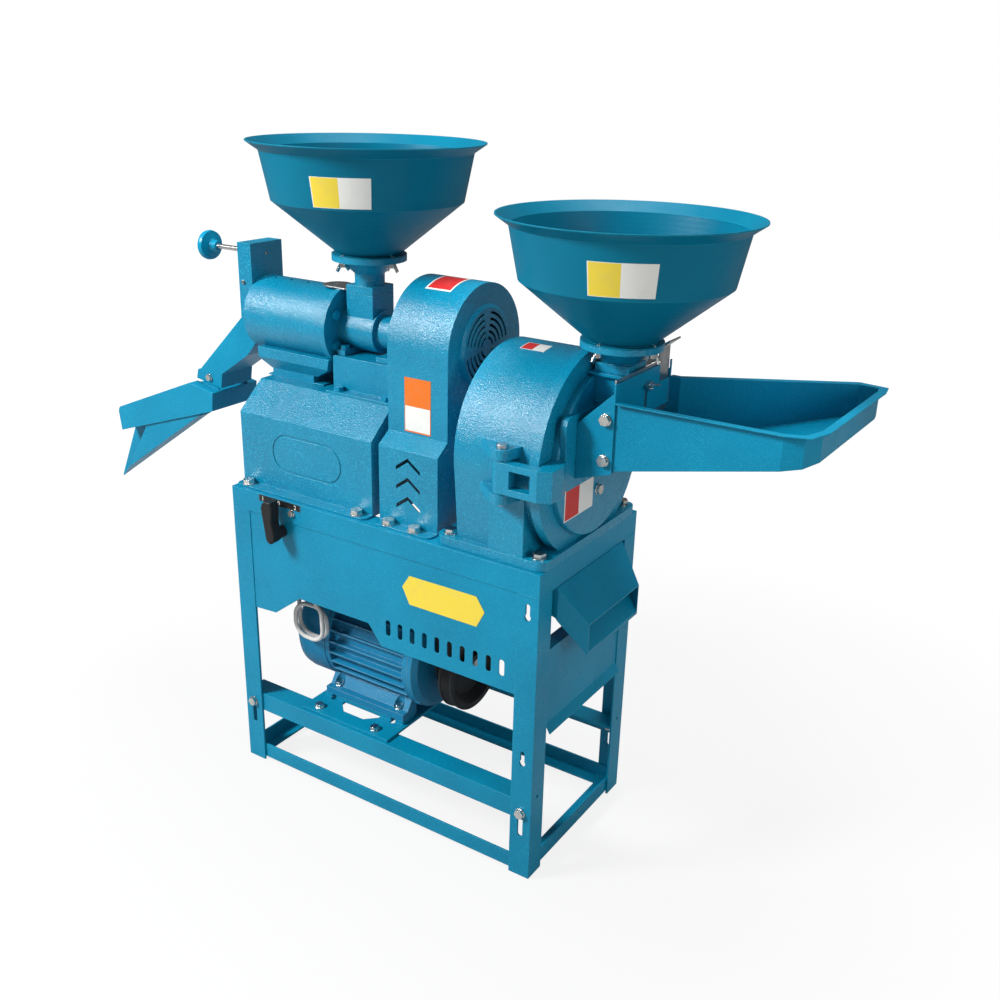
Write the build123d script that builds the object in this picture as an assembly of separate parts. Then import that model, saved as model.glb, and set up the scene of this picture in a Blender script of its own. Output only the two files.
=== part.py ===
from build123d import *
import math
import os

# Combined rice mill and claw grinder on one steel stand, driven by one motor
# Millimetres. x runs along the stand, y from front to back, z up from the floor.
# The pieces are drawn from the stand's front left corner, and the origin is then
# moved to the middle of the stand's footprint on the floor.

# Stand
frame_length = 570.0
frame_depth = 287.0
frame_height = 500.0
angle_width = 35.0
angle_wall = 3.0
bottom_rail_height = 25.0
bottom_rail_z = 5.0
motor_rail_height = 32.0
motor_rail_top = 130.0
leg_slot_length = 48.0
keyhole_heights = (205.0, 440.0)
apron_wall = 1.5
apron_recess = 1.0
apron_drop = 194.0
apron_arch = 38.0
vent_count = 10
vent_width = 9.0
vent_height = 26.0
switch_x = 104.0
switch_z = 448.0
switch_stem_radius = 5.0
switch_side = 50.0
switch_tall = 60.0
switch_deep = 47.0
end_panel_low = 237.0
end_panel_high = 372.0

# Shared clearances and fasteners
seat_gap = 0.3
running_gap = 0.05
bolt_hole_gap = 0.4
m10 = 10.0
m8 = 8.0

# Motor
motor_foot_pitch = 125.0
motor_foot_span = 140.0
motor_centre_height = 90.0
motor_radius = 88.0
motor_core_radius = 77.0
motor_fin_count = 28
motor_fin_wall = 2.6
motor_left = 131.0
motor_right = 300.0
motor_shaft_radius = 12.5
motor_bearing_radius = 26.0
motor_bearing_width = 15.0
motor_pad = 5.4
cowl_left = 60.0
cowl_wall = 1.5
end_bell_length = 25.0
motor_plate_wall = 4.0
cable_radius = 3.5

# Belts and pulleys, by outside radius
belt_width = 17.0
belt_depth = 11.0
belt_sink = 1.0
groove_spare = 3.0
pulley_web = 10.0
motor_small_radius = 45.0
motor_large_radius = 72.0
mill_pulley_radius = 75.0
grinder_pulley_radius = 42.0
pulley_width = 24.0
groove_half_angle = 18.0

# Covers
cover_length = 262.0
cover_front = 28.0
cover_wall = 2.5
cover_side_height = 117.0
cover_height = 159.0
cover_slope = 49.0
cover_flange = 20.0
guard_left = 276.0
guard_width = 105.0
guard_wall = 2.0
guard_front = 28.0
guard_tall_half = 92.0
guard_low_height = 117.0
guard_centre_height = 254.0
chevron_pitch = 29.2
chevron_low = 42.0
press_left = 65.0
press_right = 205.0
press_radius = 31.0
press_height = 64.0
press_line = 3.5
press_depth = 1.2

# Rice mill
mill_height = 250.0
casing_radius = 59.0
casing_wall = 2.0
casing_left = -39.0
casing_right = 124.0
flange_radius = 64.0
flange_wall = 9.0
screen_radius = 36.0
screen_wall = 1.5
roller_radius = 24.0
roller_rib = 5.0
feed_bore = 24.0
barrel_wall = 9.0
screw_root = 15.0
screw_pitch = 32.0
throat_side = 50.0
throat_centre = 171.0
throat_top = 307.3
shaft_radius = 10.0
bearing_radius = 21.0
bearing_width = 12.0
bearing_wall = 4.5
housing_right = 274.0

# Outlet box and its pressure flap
box_left = -68.0
box_half = 35.0
box_wall = 2.5
box_top = 361.0
box_bottom = 242.0
flap_radius = 32.0
flap_wall = 4.0
flap_pivot_height = 300.0
screw_height = 343.0
pressure_screw_radius = 4.0
handwheel_radius = 24.0
handwheel_x = -164.0

# Hoppers, both alike
hopper_rim_radius = 173.0
hopper_top_radius = 155.0
hopper_knee_radius = 141.0
hopper_mouth_radius = 46.0
hopper_wall = 1.5
hopper_lip = 14.0
hopper_knee_drop = 83.0
hopper_mouth_drop = 161.0
collar_radius = 56.0
collar_neck_radius = 22.5
collar_wall = 4.0
gate_wall = 2.0
gate_travel = 42.0
rice_rim_height = 525.0
grinder_rim_height = 457.0

# Grinder
grinder_height = 135.0
drum_radius = 139.0
drum_wall = 12.0
drum_left = 425.0
drum_front = 549.0
rim_radius = 148.0
rim_width = 14.0
mouth_radius = 108.0
base_wall = 14.0
base_left = 392.0
base_right = 571.0
base_inset = 6.0
block_right = 536.0
block_half = 128.0
disc_radius = 96.0
disc_wall = 8.0
claw_height = 27.0
claw_size = 8.0
rotor_rings = ((36.0, 6), (60.0, 9), (88.0, 12))
stator_rings = ((48.0, 8), (74.0, 12))
sieve_radius = 104.0
sieve_wall = 2.0
door_radius = 118.0
door_wall = 10.0
pin_x = 512.0
pin_y = -11.0
pin_radius = 5.0
knuckle_radius = 12.0
lug_wall = 14.0
knuckle_half = 21.5
throat_half = 83.5
throat_low = 125.0
throat_high = 200.0
throat_frame_wall = 8.0
throat_right = 634.0
duct_x = 597.0
duct_side = 50.0

# Feed tray
tray_right = 884.0
tray_rim_height = 237.0
tray_flare = 117.0
tray_wall = 1.5
tray_rim = 10.0
tray_low = 144.0
tray_rise = 0.2135

mid = frame_depth / 2
top = frame_height
mill_z = top + mill_height
grinder_z = top + grinder_height
motor_base = motor_rail_top + seat_gap + motor_plate_wall + motor_pad + seat_gap
motor_z = motor_base + motor_centre_height
guard_right = guard_left + guard_width
grinder_belt_x = guard_right - 17.0
mill_belt_x = grinder_belt_x - pulley_width - 1.0
guard_centre_z = top + guard_centre_height


# Basic solids
def block(x0, x1, y0, y1, z0, z1):
    return Pos((x0 + x1) / 2, (y0 + y1) / 2, (z0 + z1) / 2) * Box(x1 - x0, y1 - y0, z1 - z0)


def rod_x(x0, x1, y, z, r):
    return Pos((x0 + x1) / 2, y, z) * Rot(0, 90, 0) * Cylinder(r, x1 - x0)


def rod_y(x, y0, y1, z, r):
    return Pos(x, (y0 + y1) / 2, z) * Rot(90, 0, 0) * Cylinder(r, y1 - y0)


def rod_z(x, y, z0, z1, r):
    return Pos(x, y, (z0 + z1) / 2) * Cylinder(r, z1 - z0)


def plan(points, z0, z1):
    """Outline in x and y, raised from z0 to z1."""
    return extrude(Plane.XY.offset(z0) * Polygon(*points, align=None), amount=z1 - z0, dir=(0, 0, 1))


def side(points, y0, y1):
    """Outline in x and z, spread from y0 to y1."""
    return extrude(Plane.XZ.offset(-y1) * Polygon(*points, align=None), amount=y1 - y0, dir=(0, -1, 0))


def end(points, x0, x1):
    """Outline in y and z, spread from x0 to x1."""
    return extrude(Plane.YZ.offset(x0) * Polygon(*points, align=None), amount=x1 - x0, dir=(1, 0, 0))


def turned_x(points, z):
    """Outline in x and radius, turned about a level axis in the middle plane."""
    lathe = Plane(origin=(0, mid, z), x_dir=(1, 0, 0), z_dir=(0, -1, 0))
    return revolve(lathe * Polygon(*points, align=None), Axis((0, mid, z), (1, 0, 0)), 360)


def turned_z(points, x):
    """Outline in radius and height, turned about an upright axis in the middle plane."""
    lathe = Plane(origin=(x, mid, 0), x_dir=(1, 0, 0), z_dir=(0, -1, 0))
    return revolve(lathe * Polygon(*points, align=None), Axis((x, mid, 0), (0, 0, 1)), 360)


def mirrored(shape):
    """The same shape on the other side of the middle plane."""
    return mirror(shape, about=Plane.XZ.offset(-mid))


def around_x(shape, angle, z):
    """The shape turned by an angle about the level axis at height z."""
    return shape.rotate(Axis((0, mid, z), (1, 0, 0)), angle)


def slot_y(x, z, width, height, y0, y1):
    """An upright slot with round ends, cut along y."""
    half = height / 2 - width / 2
    slot = block(x - width / 2, x + width / 2, y0, y1, z - half, z + half)
    return slot + rod_y(x, y0, y1, z - half, width / 2) + rod_y(x, y0, y1, z + half, width / 2)


def slot_z(x, y, length_x, length_y, z0, z1):
    """A slot with round ends in a level plate."""
    width = min(length_x, length_y)
    dx = (length_x - width) / 2
    dy = (length_y - width) / 2
    slot = block(x - dx - (width / 2 if dx == 0 else 0), x + dx + (width / 2 if dx == 0 else 0),
                 y - dy - (width / 2 if dy == 0 else 0), y + dy + (width / 2 if dy == 0 else 0), z0, z1)
    return slot + rod_z(x - dx, y - dy, z0, z1, width / 2) + rod_z(x + dx, y + dy, z0, z1, width / 2)


def hexagon(radius):
    return RegularPolygon(radius, 6)


def bolt(place, size, grip, turn=0.0):
    """Hexagon bolt with washer; place is the seat's frame and its z points outward."""
    head = extrude(Plane.XY.offset(0.17 * size) * Rot(0, 0, turn) * hexagon(0.95 * size), amount=0.62 * size)
    washer = Cylinder(1.02 * size, 0.17 * size, align=(Align.CENTER, Align.CENTER, Align.MIN))
    shank = Pos(0, 0, -grip) * Cylinder(size / 2, grip + 0.1, align=(Align.CENTER, Align.CENTER, Align.MIN))
    return place * (head + washer + shank)


def facing(x, y, z, normal):
    """Frame of a bolt's seat: its z axis points along the normal."""
    across = (1, 0, 0) if abs(normal[0]) < 0.5 else (0, 1, 0)
    return Plane(origin=(x, y, z), x_dir=across, z_dir=normal).location


def wing_screw(place, size, grip):
    """Wing screw: hub, two wings and a shank."""
    hub = Cylinder(size * 0.95, size, align=(Align.CENTER, Align.CENTER, Align.MIN))
    wing = Polygon((0, 0), (size * 1.3, size * 0.3), (size * 2.2, size * 1.6), (size * 1.5, size * 2.1),
                   (size * 0.6, size * 0.9), (0, size), align=None)
    wings = Pos(0, 1, 0) * (extrude(Plane.XZ * wing, amount=2))
    other = wings.mirror(Plane.YZ)
    shank = Pos(0, 0, -grip) * Cylinder(size / 2, grip + 0.1, align=(Align.CENTER, Align.CENTER, Align.MIN))
    return place * (hub + wings + other + shank)


# Stand
leg_top = top - angle_width - seat_gap
leg_bolt_x = angle_width / 2
rail_bolt_z = motor_rail_top - 18.0
leg_slot_z = rail_bolt_z - leg_slot_length / 2 + m8 * 0.8
cover_bolt_y = angle_width / 2
cover_bolts = [(20.0, cover_bolt_y), (cover_length - 22.0, cover_bolt_y)]
guard_bolts = [(guard_left + 24.0, cover_bolt_y), (guard_right - 34.0, cover_bolt_y)]
base_bolts = [(base_left + 17.0, 22.0), (base_right - 17.0, 22.0)]


def both_sides(points):
    return points + [(x, frame_depth - y) for x, y in points]


def stand_leg(from_right, from_back):
    leg = block(0, angle_width, 0, angle_wall, 0, leg_top)
    leg += block(0, angle_wall, 0, angle_width, 0, leg_top)
    leg -= slot_y(leg_bolt_x, leg_slot_z, m8 + 2 * bolt_hole_gap, leg_slot_length, -1, angle_wall + 1)
    leg -= rod_x(-1, angle_wall + 1, angle_width / 2, rail_bolt_z + 26, 3.0)
    if from_right and not from_back:
        for z in keyhole_heights:
            leg -= slot_y(leg_bolt_x, z, 7.0, 26.0, -1, angle_wall + 1)
            leg -= rod_y(leg_bolt_x, -1, angle_wall + 1, z - 7, 5.0)
    if from_right:
        leg = mirror(leg, about=Plane.YZ.offset(frame_length / 2))
    if from_back:
        leg = mirrored(leg)
    return leg


def stand_legs():
    return [stand_leg(r, b) for r in (False, True) for b in (False, True)]


def top_frame():
    ring = block(0, frame_length, 0, frame_depth, top - angle_width, top)
    ring -= block(angle_wall, frame_length - angle_wall, angle_wall, frame_depth - angle_wall,
                  top - angle_width - 1, top - angle_wall)
    ring -= block(angle_width, frame_length - angle_width, angle_width, frame_depth - angle_width,
                  top - angle_wall - 1, top + 1)
    for x, y in both_sides(cover_bolts + guard_bolts + base_bolts):
        ring -= rod_z(x, y, top - angle_wall - 1, top + 1, m10 / 2 + bolt_hole_gap)
    ring -= rod_y(126, -1, angle_wall + 1, top - 17, 2.9)
    return ring


def bottom_frame():
    inset = angle_wall + seat_gap
    z0 = bottom_rail_z
    z1 = z0 + bottom_rail_height
    x1 = frame_length - inset
    y1 = frame_depth - inset
    ring = block(inset, x1, inset, y1, z0, z1)
    ring -= block(inset + angle_wall, x1 - angle_wall, inset + angle_wall, y1 - angle_wall,
                  z0 + angle_wall, z1 + 1)
    foot = bottom_rail_height
    ring -= block(inset + foot, x1 - foot, inset + foot, y1 - foot, z0 - 1, z0 + angle_wall + 1)
    return ring


rail_y = angle_wall + seat_gap
plate_bolt_y = rail_y + 19.0
plate_bolt_xs = (146.0, 262.0)


def motor_rail():
    x0 = rail_y
    x1 = frame_length - rail_y
    rail = block(x0, x1, rail_y, rail_y + angle_wall, motor_rail_top - motor_rail_height, motor_rail_top)
    rail += block(x0, x1, rail_y, rail_y + angle_width, motor_rail_top - angle_wall, motor_rail_top)
    for x in (leg_bolt_x, frame_length - leg_bolt_x):
        rail -= rod_y(x, rail_y - 1, rail_y + angle_wall + 1, rail_bolt_z, m8 / 2 + bolt_hole_gap)
    for x in plate_bolt_xs:
        rail -= slot_z(x, plate_bolt_y, 44.0, m8 + 2 * bolt_hole_gap, motor_rail_top - angle_wall - 1,
                       motor_rail_top + 1)
    return rail


def motor_rails():
    rail = motor_rail()
    return [rail, mirrored(rail)]


foot_xs = (motor_foot_pitch / -2 + 210.0, motor_foot_pitch / 2 + 210.0)
foot_ys = (mid - motor_foot_span / 2, mid + motor_foot_span / 2)


def motor_plate():
    z0 = motor_rail_top + seat_gap
    z1 = z0 + motor_plate_wall
    x0 = foot_xs[0] - 26.0
    x1 = foot_xs[1] + 26.0
    y0 = rail_y + 5.0
    plate = block(x0, x1, y0, frame_depth - y0, z0, z1)
    a0 = foot_xs[0] + 22.0
    a1 = foot_xs[1] - 26.0
    b0 = rail_y + 31.0
    b1 = frame_depth - b0
    c = 18.0
    window = [(a0 + c, b0), (a1 - c, b0), (a1, b0 + c), (a1, b1 - c), (a1 - c, b1), (a0 + c, b1),
              (a0, b1 - c), (a0, b0 + c)]
    plate -= plan(window, z0 - 1, z1 + 1)
    strip = block(foot_xs[0] - 20, foot_xs[1] + 20, foot_ys[0] - 16, foot_ys[0] + 16, z1 - 1, z1 + motor_pad)
    plate += strip
    plate += mirrored(strip)
    for x in foot_xs:
        for y in foot_ys:
            plate -= slot_z(x, y, m8 + 2 * bolt_hole_gap, 44.0, z0 - 1, z1 + motor_pad + 1)
    for x in plate_bolt_xs:
        for y in (plate_bolt_y, frame_depth - plate_bolt_y):
            plate -= rod_z(x, y, z0 - 1, z1 + 1, m8 / 2 + bolt_hole_gap)
    return plate


def front_apron():
    x0 = angle_width + seat_gap
    x1 = frame_length - x0
    z1 = top - angle_width - seat_gap
    low = top - apron_drop
    arch = low + apron_arch * 0.84
    outline = [(x0, z1), (x1, z1), (x1, low), (297, low), (272, arch), (133, arch), (80, low - 8),
               (x0, low - 11)]
    sheet = side(outline, apron_recess, apron_recess + apron_wall)
    for i in range(vent_count):
        x = 310.0 + i * 22.5
        sheet -= slot_y(x, 341, vent_width, vent_height, 0, apron_recess + apron_wall + 1)
    sheet -= rod_y(switch_x, 0, 9, switch_z, switch_stem_radius + 1.0)
    return sheet


def end_panel():
    y0 = angle_width + seat_gap
    y1 = frame_depth - y0
    x1 = frame_length - 1.5
    x0 = x1 - apron_wall
    panel = block(x0, x1, y0, y1, end_panel_low, end_panel_high)
    panel += block(x0 - 20, x1, y0, y1, end_panel_high - apron_wall, end_panel_high)
    lip = [(x0, end_panel_low + 14), (x1, end_panel_low + 14), (x1 + 8, end_panel_low),
           (x0 + 8, end_panel_low)]
    panel -= block(x0 - 1, x1 + 1, y0 - 1, y1 + 1, end_panel_low - 1, end_panel_low + 14)
    return panel + side(lip, y0, y1)


def discharge_chute():
    """Closed spout under the grinder, narrowing to its mouth outside the stand."""
    t = 2.0
    wide = (46.0, frame_depth - 46.0)
    narrow = (66.0, frame_depth - 66.0)
    z_top = top - angle_width - seat_gap
    upper = [(drum_left + 12, z_top), (frame_length + 1, z_top), (613, 412), (613, 364),
             (frame_length, 418), (drum_left + 12, top - angle_width - 8)]
    body = side(upper, wide[0], wide[1])
    cheek = [(frame_length + 1, wide[0] - 1), (frame_length + 60, wide[0] - 1), (frame_length + 60, narrow[0] + 7),
             (613, narrow[0])]
    taper = plan(cheek, 300, z_top + 1)
    body -= taper
    body -= mirrored(taper)
    x1 = frame_length - angle_width - 1
    inner = [(drum_left + 12 + t, z_top + 1), (x1 - t, z_top + 1), (x1 - t, z_top - t),
             (frame_length + 0.4, z_top - t), (615, 410 - t), (615, 364.4 + t), (frame_length, 418 + t),
             (drum_left + 12 + t, z_top - 8 + t)]
    hollow = side(inner, wide[0] + t, wide[1] - t)
    shift = Pos(0, t, 0)
    hollow -= shift * taper
    hollow -= mirrored(shift * taper)
    body -= hollow
    wing = block(drum_left + 4, frame_length - 20, wide[0] - 8, wide[0] + t, z_top + 1, z_top + 1 + t)
    body += wing
    body += mirrored(wing)
    x1 = frame_length - angle_width - 1
    riser = block(drum_left + 12, x1, wide[0], wide[0] + t, z_top - 1, top)
    body += riser
    body += mirrored(riser)
    for x in (drum_left + 12, x1 - t):
        body += block(x, x + t, wide[0], wide[1], z_top - 2, top)
    return body


# Motor
def motor_housing():
    body = rod_x(motor_left, motor_right, mid, motor_z, motor_core_radius)
    for i in range(motor_fin_count):
        angle = 360.0 / motor_fin_count * (i + 0.5)
        down = abs((angle - 270.0 + 180.0) % 360.0 - 180.0)
        upward = abs((angle - 90.0 + 180.0) % 360.0 - 180.0)
        if down > 26 and upward > 22:
            fin = block(motor_left + 8, motor_right - 8, mid + motor_core_radius - 2, mid + motor_radius,
                        motor_z - motor_fin_wall / 2, motor_z + motor_fin_wall / 2)
            body += around_x(fin, angle, motor_z)
    body += rod_x(motor_right - 9, motor_right, mid, motor_z, motor_radius - 1.0)
    body += rod_x(motor_left, motor_left + 9, mid, motor_z, motor_radius - 1.0)
    base = motor_base
    foot = block(motor_left, foot_xs[1] + 20, foot_ys[0] - 16, foot_ys[0] + 20, base, base + 12)
    web = end([(foot_ys[0] - 4, base + 11), (foot_ys[0] + 16, base + 11), (mid - 32, motor_z - 66),
               (mid - 54, motor_z - 48)], motor_left, foot_xs[1] + 20)
    for leg in (foot, web):
        body += leg
        body += mirrored(leg)
    pad = block(motor_left + 2, box_x + terminal_length, mid - 36, mid + 36, motor_z + 60, motor_z + motor_radius)
    body += pad
    for x in foot_xs:
        for y in foot_ys:
            body -= rod_z(x, y, base - 1, base + 13, m8 / 2 + bolt_hole_gap)
            body -= rod_z(x, y, base + 12, base + 30, m8 * 1.15)
    body -= rod_x(motor_left + 20, motor_right + 1, mid, motor_z, 52.0)
    body -= rod_x(motor_left - 1, motor_left + 21, mid, motor_z, motor_shaft_radius + 1.0)
    body -= rod_x(motor_left + 6, motor_left + 21, mid, motor_z, motor_bearing_radius + 0.02)
    return body


def motor_end_bell():
    x0 = motor_right + seat_gap
    x1 = x0 + end_bell_length
    r = motor_shaft_radius + 1.0
    seat = motor_bearing_radius + 0.02
    outline = [(x0, motor_radius - 1), (x0 + 8, motor_radius - 1), (x0 + 16, motor_radius - 9),
               (x1 - 6, 52), (x1 - 6, 36), (x1, 34), (x1, r), (x1 - 5, r), (x1 - 5, seat),
               (x1 - 6 - motor_bearing_width, seat), (x1 - 6 - motor_bearing_width, 40), (x0 + 6, 60), (x0, 60)]
    bell = turned_x(outline, motor_z)
    for i in range(4):
        ear = rod_x(x0, x0 + 10, mid + motor_radius - 6, motor_z, 7.0)
        bell += around_x(ear, 45 + 90 * i, motor_z)
    return bell


def fan_cowl():
    x0 = cowl_left
    x1 = motor_left - seat_gap
    t = cowl_wall
    r = motor_radius
    outline = [(x0, 0), (x0, r - 22), (x0 + 5, r - 10), (x0 + 14, r - 2), (x0 + 24, r), (x1, r),
               (x1, r - t), (x0 + 24, r - t), (x0 + 14 + t, r - 2 - t), (x0 + 5 + t, r - 10 - t),
               (x0 + t, r - 22), (x0 + t, 0)]
    cowl = turned_x(outline, motor_z)
    for ring, count in ((26, 8), (46, 12)):
        for i in range(count):
            slot = block(x0 - 1, x0 + t + 1, mid + ring - 7, mid + ring + 7, motor_z - 3, motor_z + 3)
            cowl -= around_x(slot, 360.0 / count * i, motor_z)
    lug = end([(mid - 8, motor_z + r - 6), (mid + 8, motor_z + r - 6), (mid + 8, motor_z + r - t),
               (mid - 8, motor_z + r - t)], x1 - 14, x1)
    for i in range(4):
        cowl += around_x(lug, 45 + 90 * i, motor_z)
    return cowl


terminal_length = 95.0
terminal_half = 43.0
box_x = 120.0
cable_start = (box_x + 2.0, mid - 23.5, motor_z + motor_radius + 27.0)


def terminal_box():
    z0 = motor_z + motor_radius + seat_gap
    x0 = box_x
    x1 = x0 + terminal_length
    w = terminal_half
    box = block(x0, x1, mid - w, mid + w, z0, z0 + 42)
    box = fillet(box.edges().filter_by(Axis.Z), 6)
    lid = block(x0 - 2, x1 + 2, mid - w - 2, mid + w + 2, z0 + 44, z0 + 53)
    lid = fillet(lid.edges().filter_by(Axis.Z), 7)
    neck = block(x0 + 4, x1 - 4, mid - w + 4, mid + w - 4, z0 + 41, z0 + 45)
    gland = rod_x(x0 - 14, x0 + 1, cable_start[1], cable_start[2], 9.0)
    box += gland
    box -= rod_x(x0 - 15, x0 + 4, cable_start[1], cable_start[2], cable_radius + 0.2)
    return box + neck + lid


def motor_rotor():
    x1 = grinder_belt_x + pulley_width / 2 - 2
    shaft = rod_x(cowl_left + 22, x1, mid, motor_z, motor_shaft_radius)
    return shaft + rod_x(motor_left + 36, motor_right - 14, mid, motor_z, 48.0)


def motor_fan():
    hub_r = motor_shaft_radius + 8
    x0 = cowl_left + 24
    fan = rod_x(x0, x0 + 26, mid, motor_z, hub_r)
    fan += rod_x(x0 + 21, x0 + 24, mid, motor_z, 60.0)
    for i in range(8):
        blade = block(x0 + 2, x0 + 23, mid + hub_r - 2, mid + 74, motor_z - 1.2, motor_z + 1.2)
        fan += around_x(blade, 45 * i, motor_z)
    return fan - rod_x(x0 - 1, x0 + 27, mid, motor_z, motor_shaft_radius + running_gap)


# Belts and pulleys
def groove(x, radius):
    """V groove as a ring: its mouth is on the rim and its walls lean by the half angle."""
    depth = belt_depth + groove_spare
    lean = math.tan(math.radians(groove_half_angle))
    half_top = belt_width / 2 + belt_sink * lean + 0.2
    half_low = half_top - depth * lean
    return [(x - half_top - lean, radius + 1), (x + half_top + lean, radius + 1), (x + half_low, radius - depth),
            (x - half_low, radius - depth)]


def sheave(x, radius, bore, z):
    wheel = rod_x(x - pulley_width / 2, x + pulley_width / 2, mid, z, radius)
    wheel -= turned_x(groove(x, radius), z)
    return wheel - rod_x(x - pulley_width, x + pulley_width, mid, z, bore)


def motor_pulley():
    bore = motor_shaft_radius + running_gap
    wheel = sheave(mill_belt_x, motor_small_radius, bore, motor_z)
    wheel += sheave(grinder_belt_x, motor_large_radius, bore, motor_z)
    wheel += rod_x(mill_belt_x + pulley_width / 2 - 1, grinder_belt_x - pulley_width / 2 + 1, mid, motor_z, 30)
    x1 = grinder_belt_x + pulley_width / 2
    dish = [(x1 - 13, 22), (x1 + 1, 22), (x1 + 1, motor_large_radius - 8), (x1 - 9, motor_large_radius - 19),
            (x1 - 13, motor_large_radius - 24)]
    wheel -= turned_x(dish, motor_z)
    return wheel - rod_x(mill_belt_x - 20, x1 + 5, mid, motor_z, bore)


def mill_pulley():
    wheel = sheave(mill_belt_x, mill_pulley_radius, shaft_radius + running_gap, mill_z)
    for sign in (-1, 1):
        x1 = mill_belt_x + sign * pulley_width / 2
        x0 = mill_belt_x + sign * 4
        dish = [(x0, 22), (x1 + sign, 22), (x1 + sign, mill_pulley_radius - 20), (x0, mill_pulley_radius - 23)]
        wheel -= turned_x(dish, mill_z)
    for i in range(5):
        hole = rod_x(mill_belt_x - 12, mill_belt_x + 12, mid + 38, mill_z, 10.0)
        wheel -= around_x(hole, 72 * i, mill_z)
    return wheel


def grinder_pulley():
    return sheave(grinder_belt_x, grinder_pulley_radius, shaft_radius + running_gap, grinder_z)


def belt(x, z_low, r_low, z_high, r_high):
    """Endless V belt round two pulleys of given outside radius: two arcs and two straight runs."""
    lean = belt_depth * math.tan(math.radians(groove_half_angle))
    half = belt_width / 2
    section = [(-half, 0), (half, 0), (half - lean, -belt_depth), (lean - half, -belt_depth)]
    a = r_low - belt_sink
    b = r_high - belt_sink
    tilt = math.asin((a - b) / (z_high - z_low))
    degrees = math.degrees(tilt)

    def arc(z, r, start, sweep_angle):
        lathe = Plane(origin=(x, mid, z + r), x_dir=(1, 0, 0), z_dir=(0, -1, 0))
        turned = revolve(lathe * Polygon(*section, align=None), Axis((0, mid, z), (1, 0, 0)), sweep_angle)
        return around_x(turned, start - 90, z)

    normal = (0, math.cos(tilt), math.sin(tilt))
    start = (x, mid + a * normal[1], z_low + a * normal[2])
    run = Plane(origin=start, x_dir=(1, 0, 0), z_dir=(0, -normal[2], normal[1]))
    length = (z_high - z_low) * math.cos(tilt)
    straight = extrude(run * Polygon(*section, align=None), amount=length, dir=run.z_dir)
    loop = arc(z_high, b, degrees, 180 - 2 * degrees) + straight
    loop += arc(z_low, a, 180 - degrees, 180 + 2 * degrees)
    return loop + mirrored(straight)


def mill_belt():
    return belt(mill_belt_x, motor_z, motor_small_radius, mill_z, mill_pulley_radius)


def grinder_belt():
    return belt(grinder_belt_x, motor_z, motor_large_radius, grinder_z, grinder_pulley_radius)


# Wiring and switch
coil_left = 84.0
coil_right = 146.0
coil_low = motor_z + 16.0
coil_high = coil_low + 58.0
coil_corner = 25.0
switch_low = switch_z - 0.5 * switch_tall
switch_front = angle_wall + seat_gap


def motor_cable():
    route = [cable_start, (coil_left, cable_start[1], cable_start[2]), (coil_left, 51, cable_start[2] - 10),
             (coil_left, 51, coil_low), (coil_right, 49, coil_low), (coil_right, 46, coil_high),
             (coil_left, 42, coil_high), (coil_left, 40, coil_low), (coil_right, 38, coil_low),
             (coil_right, 35, coil_high), (switch_x + 1, switch_front + 24, coil_high + 56),
             (switch_x + 1, switch_front + 24, switch_low + 8)]
    line = FilletPolyline(*route, radius=coil_corner)
    start = line.position_at(0)
    ring = Plane(origin=start, z_dir=line.tangent_at(0)) * Circle(cable_radius)
    return sweep(ring, path=line)


def switch_body():
    x0 = switch_x - switch_side / 2
    x1 = switch_x + switch_side / 2
    y0 = switch_front
    body = block(x0, x1, y0, y0 + switch_deep, switch_low, switch_low + switch_tall)
    body = fillet(body.edges().filter_by(Axis.Y), 4)
    body += block(x0 + 3, x1 + 6, y0 + 1, y0 + 4, switch_low + switch_tall - 8, top - 7)
    body -= rod_y(switch_x, y0 - 1, y0 + 30, switch_z, switch_stem_radius + running_gap)
    body -= rod_z(switch_x + 1, switch_front + 24, switch_low - 1, switch_low + 9, cable_radius + 0.2)
    body -= rod_y(126, y0, y0 + 6, top - 17, 3.4)
    return body


def switch_lever():
    grip = [(95, 441), (87, 491), (90, 499), (97, 504), (107, 503), (110, 496), (108, 470), (113, 449),
            (111, 440), (104, 434), (98, 436)]
    lever = side(grip, -28, -11)
    lever = fillet(lever.edges().filter_by(GeomType.LINE).group_by(Axis.Y)[0], 2.5)
    lever += rod_y(switch_x, -12, apron_recess - 0.6, switch_z, 9.5)
    return lever + rod_y(switch_x, -2, switch_front + 28, switch_z, switch_stem_radius)


# Box cover and belt guard
funnel_spout = (4.0, 90.0)
funnel_half = 43.0


def foot_flange(x0, x1, y0, y1, wall):
    """Level flange with rounded outer corners, in front of a sheet cover."""
    points = [(x0, y0), (x1, y0), (x1, y1), (x0, y1)]
    flange = fillet(Polygon(*points, align=None).vertices().group_by(Axis.Y)[0], 10)
    return extrude(Plane.XY.offset(top + seat_gap) * flange, amount=wall, dir=(0, 0, 1))


def cover_outline(inset):
    low = top - 2 if inset else top + seat_gap
    y0 = cover_front + inset
    y1 = cover_front + cover_slope + inset * 0.4
    z1 = top + cover_side_height - inset * 0.4
    z2 = top + cover_height - inset
    front = [(y0, low), (y0, z1), (y1, z2)]
    return front + [(frame_depth - y, z) for y, z in reversed(front)]


def press_outline(radius):
    """A level slot with round ends on the cover's front, as deep as the pressed line."""
    z = top + press_height
    x0 = press_left + press_radius
    x1 = press_right - press_radius
    shape = block(x0, x1, cover_front - 1, cover_front + press_depth, z - radius, z + radius)
    for x in (x0, x1):
        shape += rod_y(x, cover_front - 1, cover_front + press_depth, z, radius)
    return shape


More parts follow.
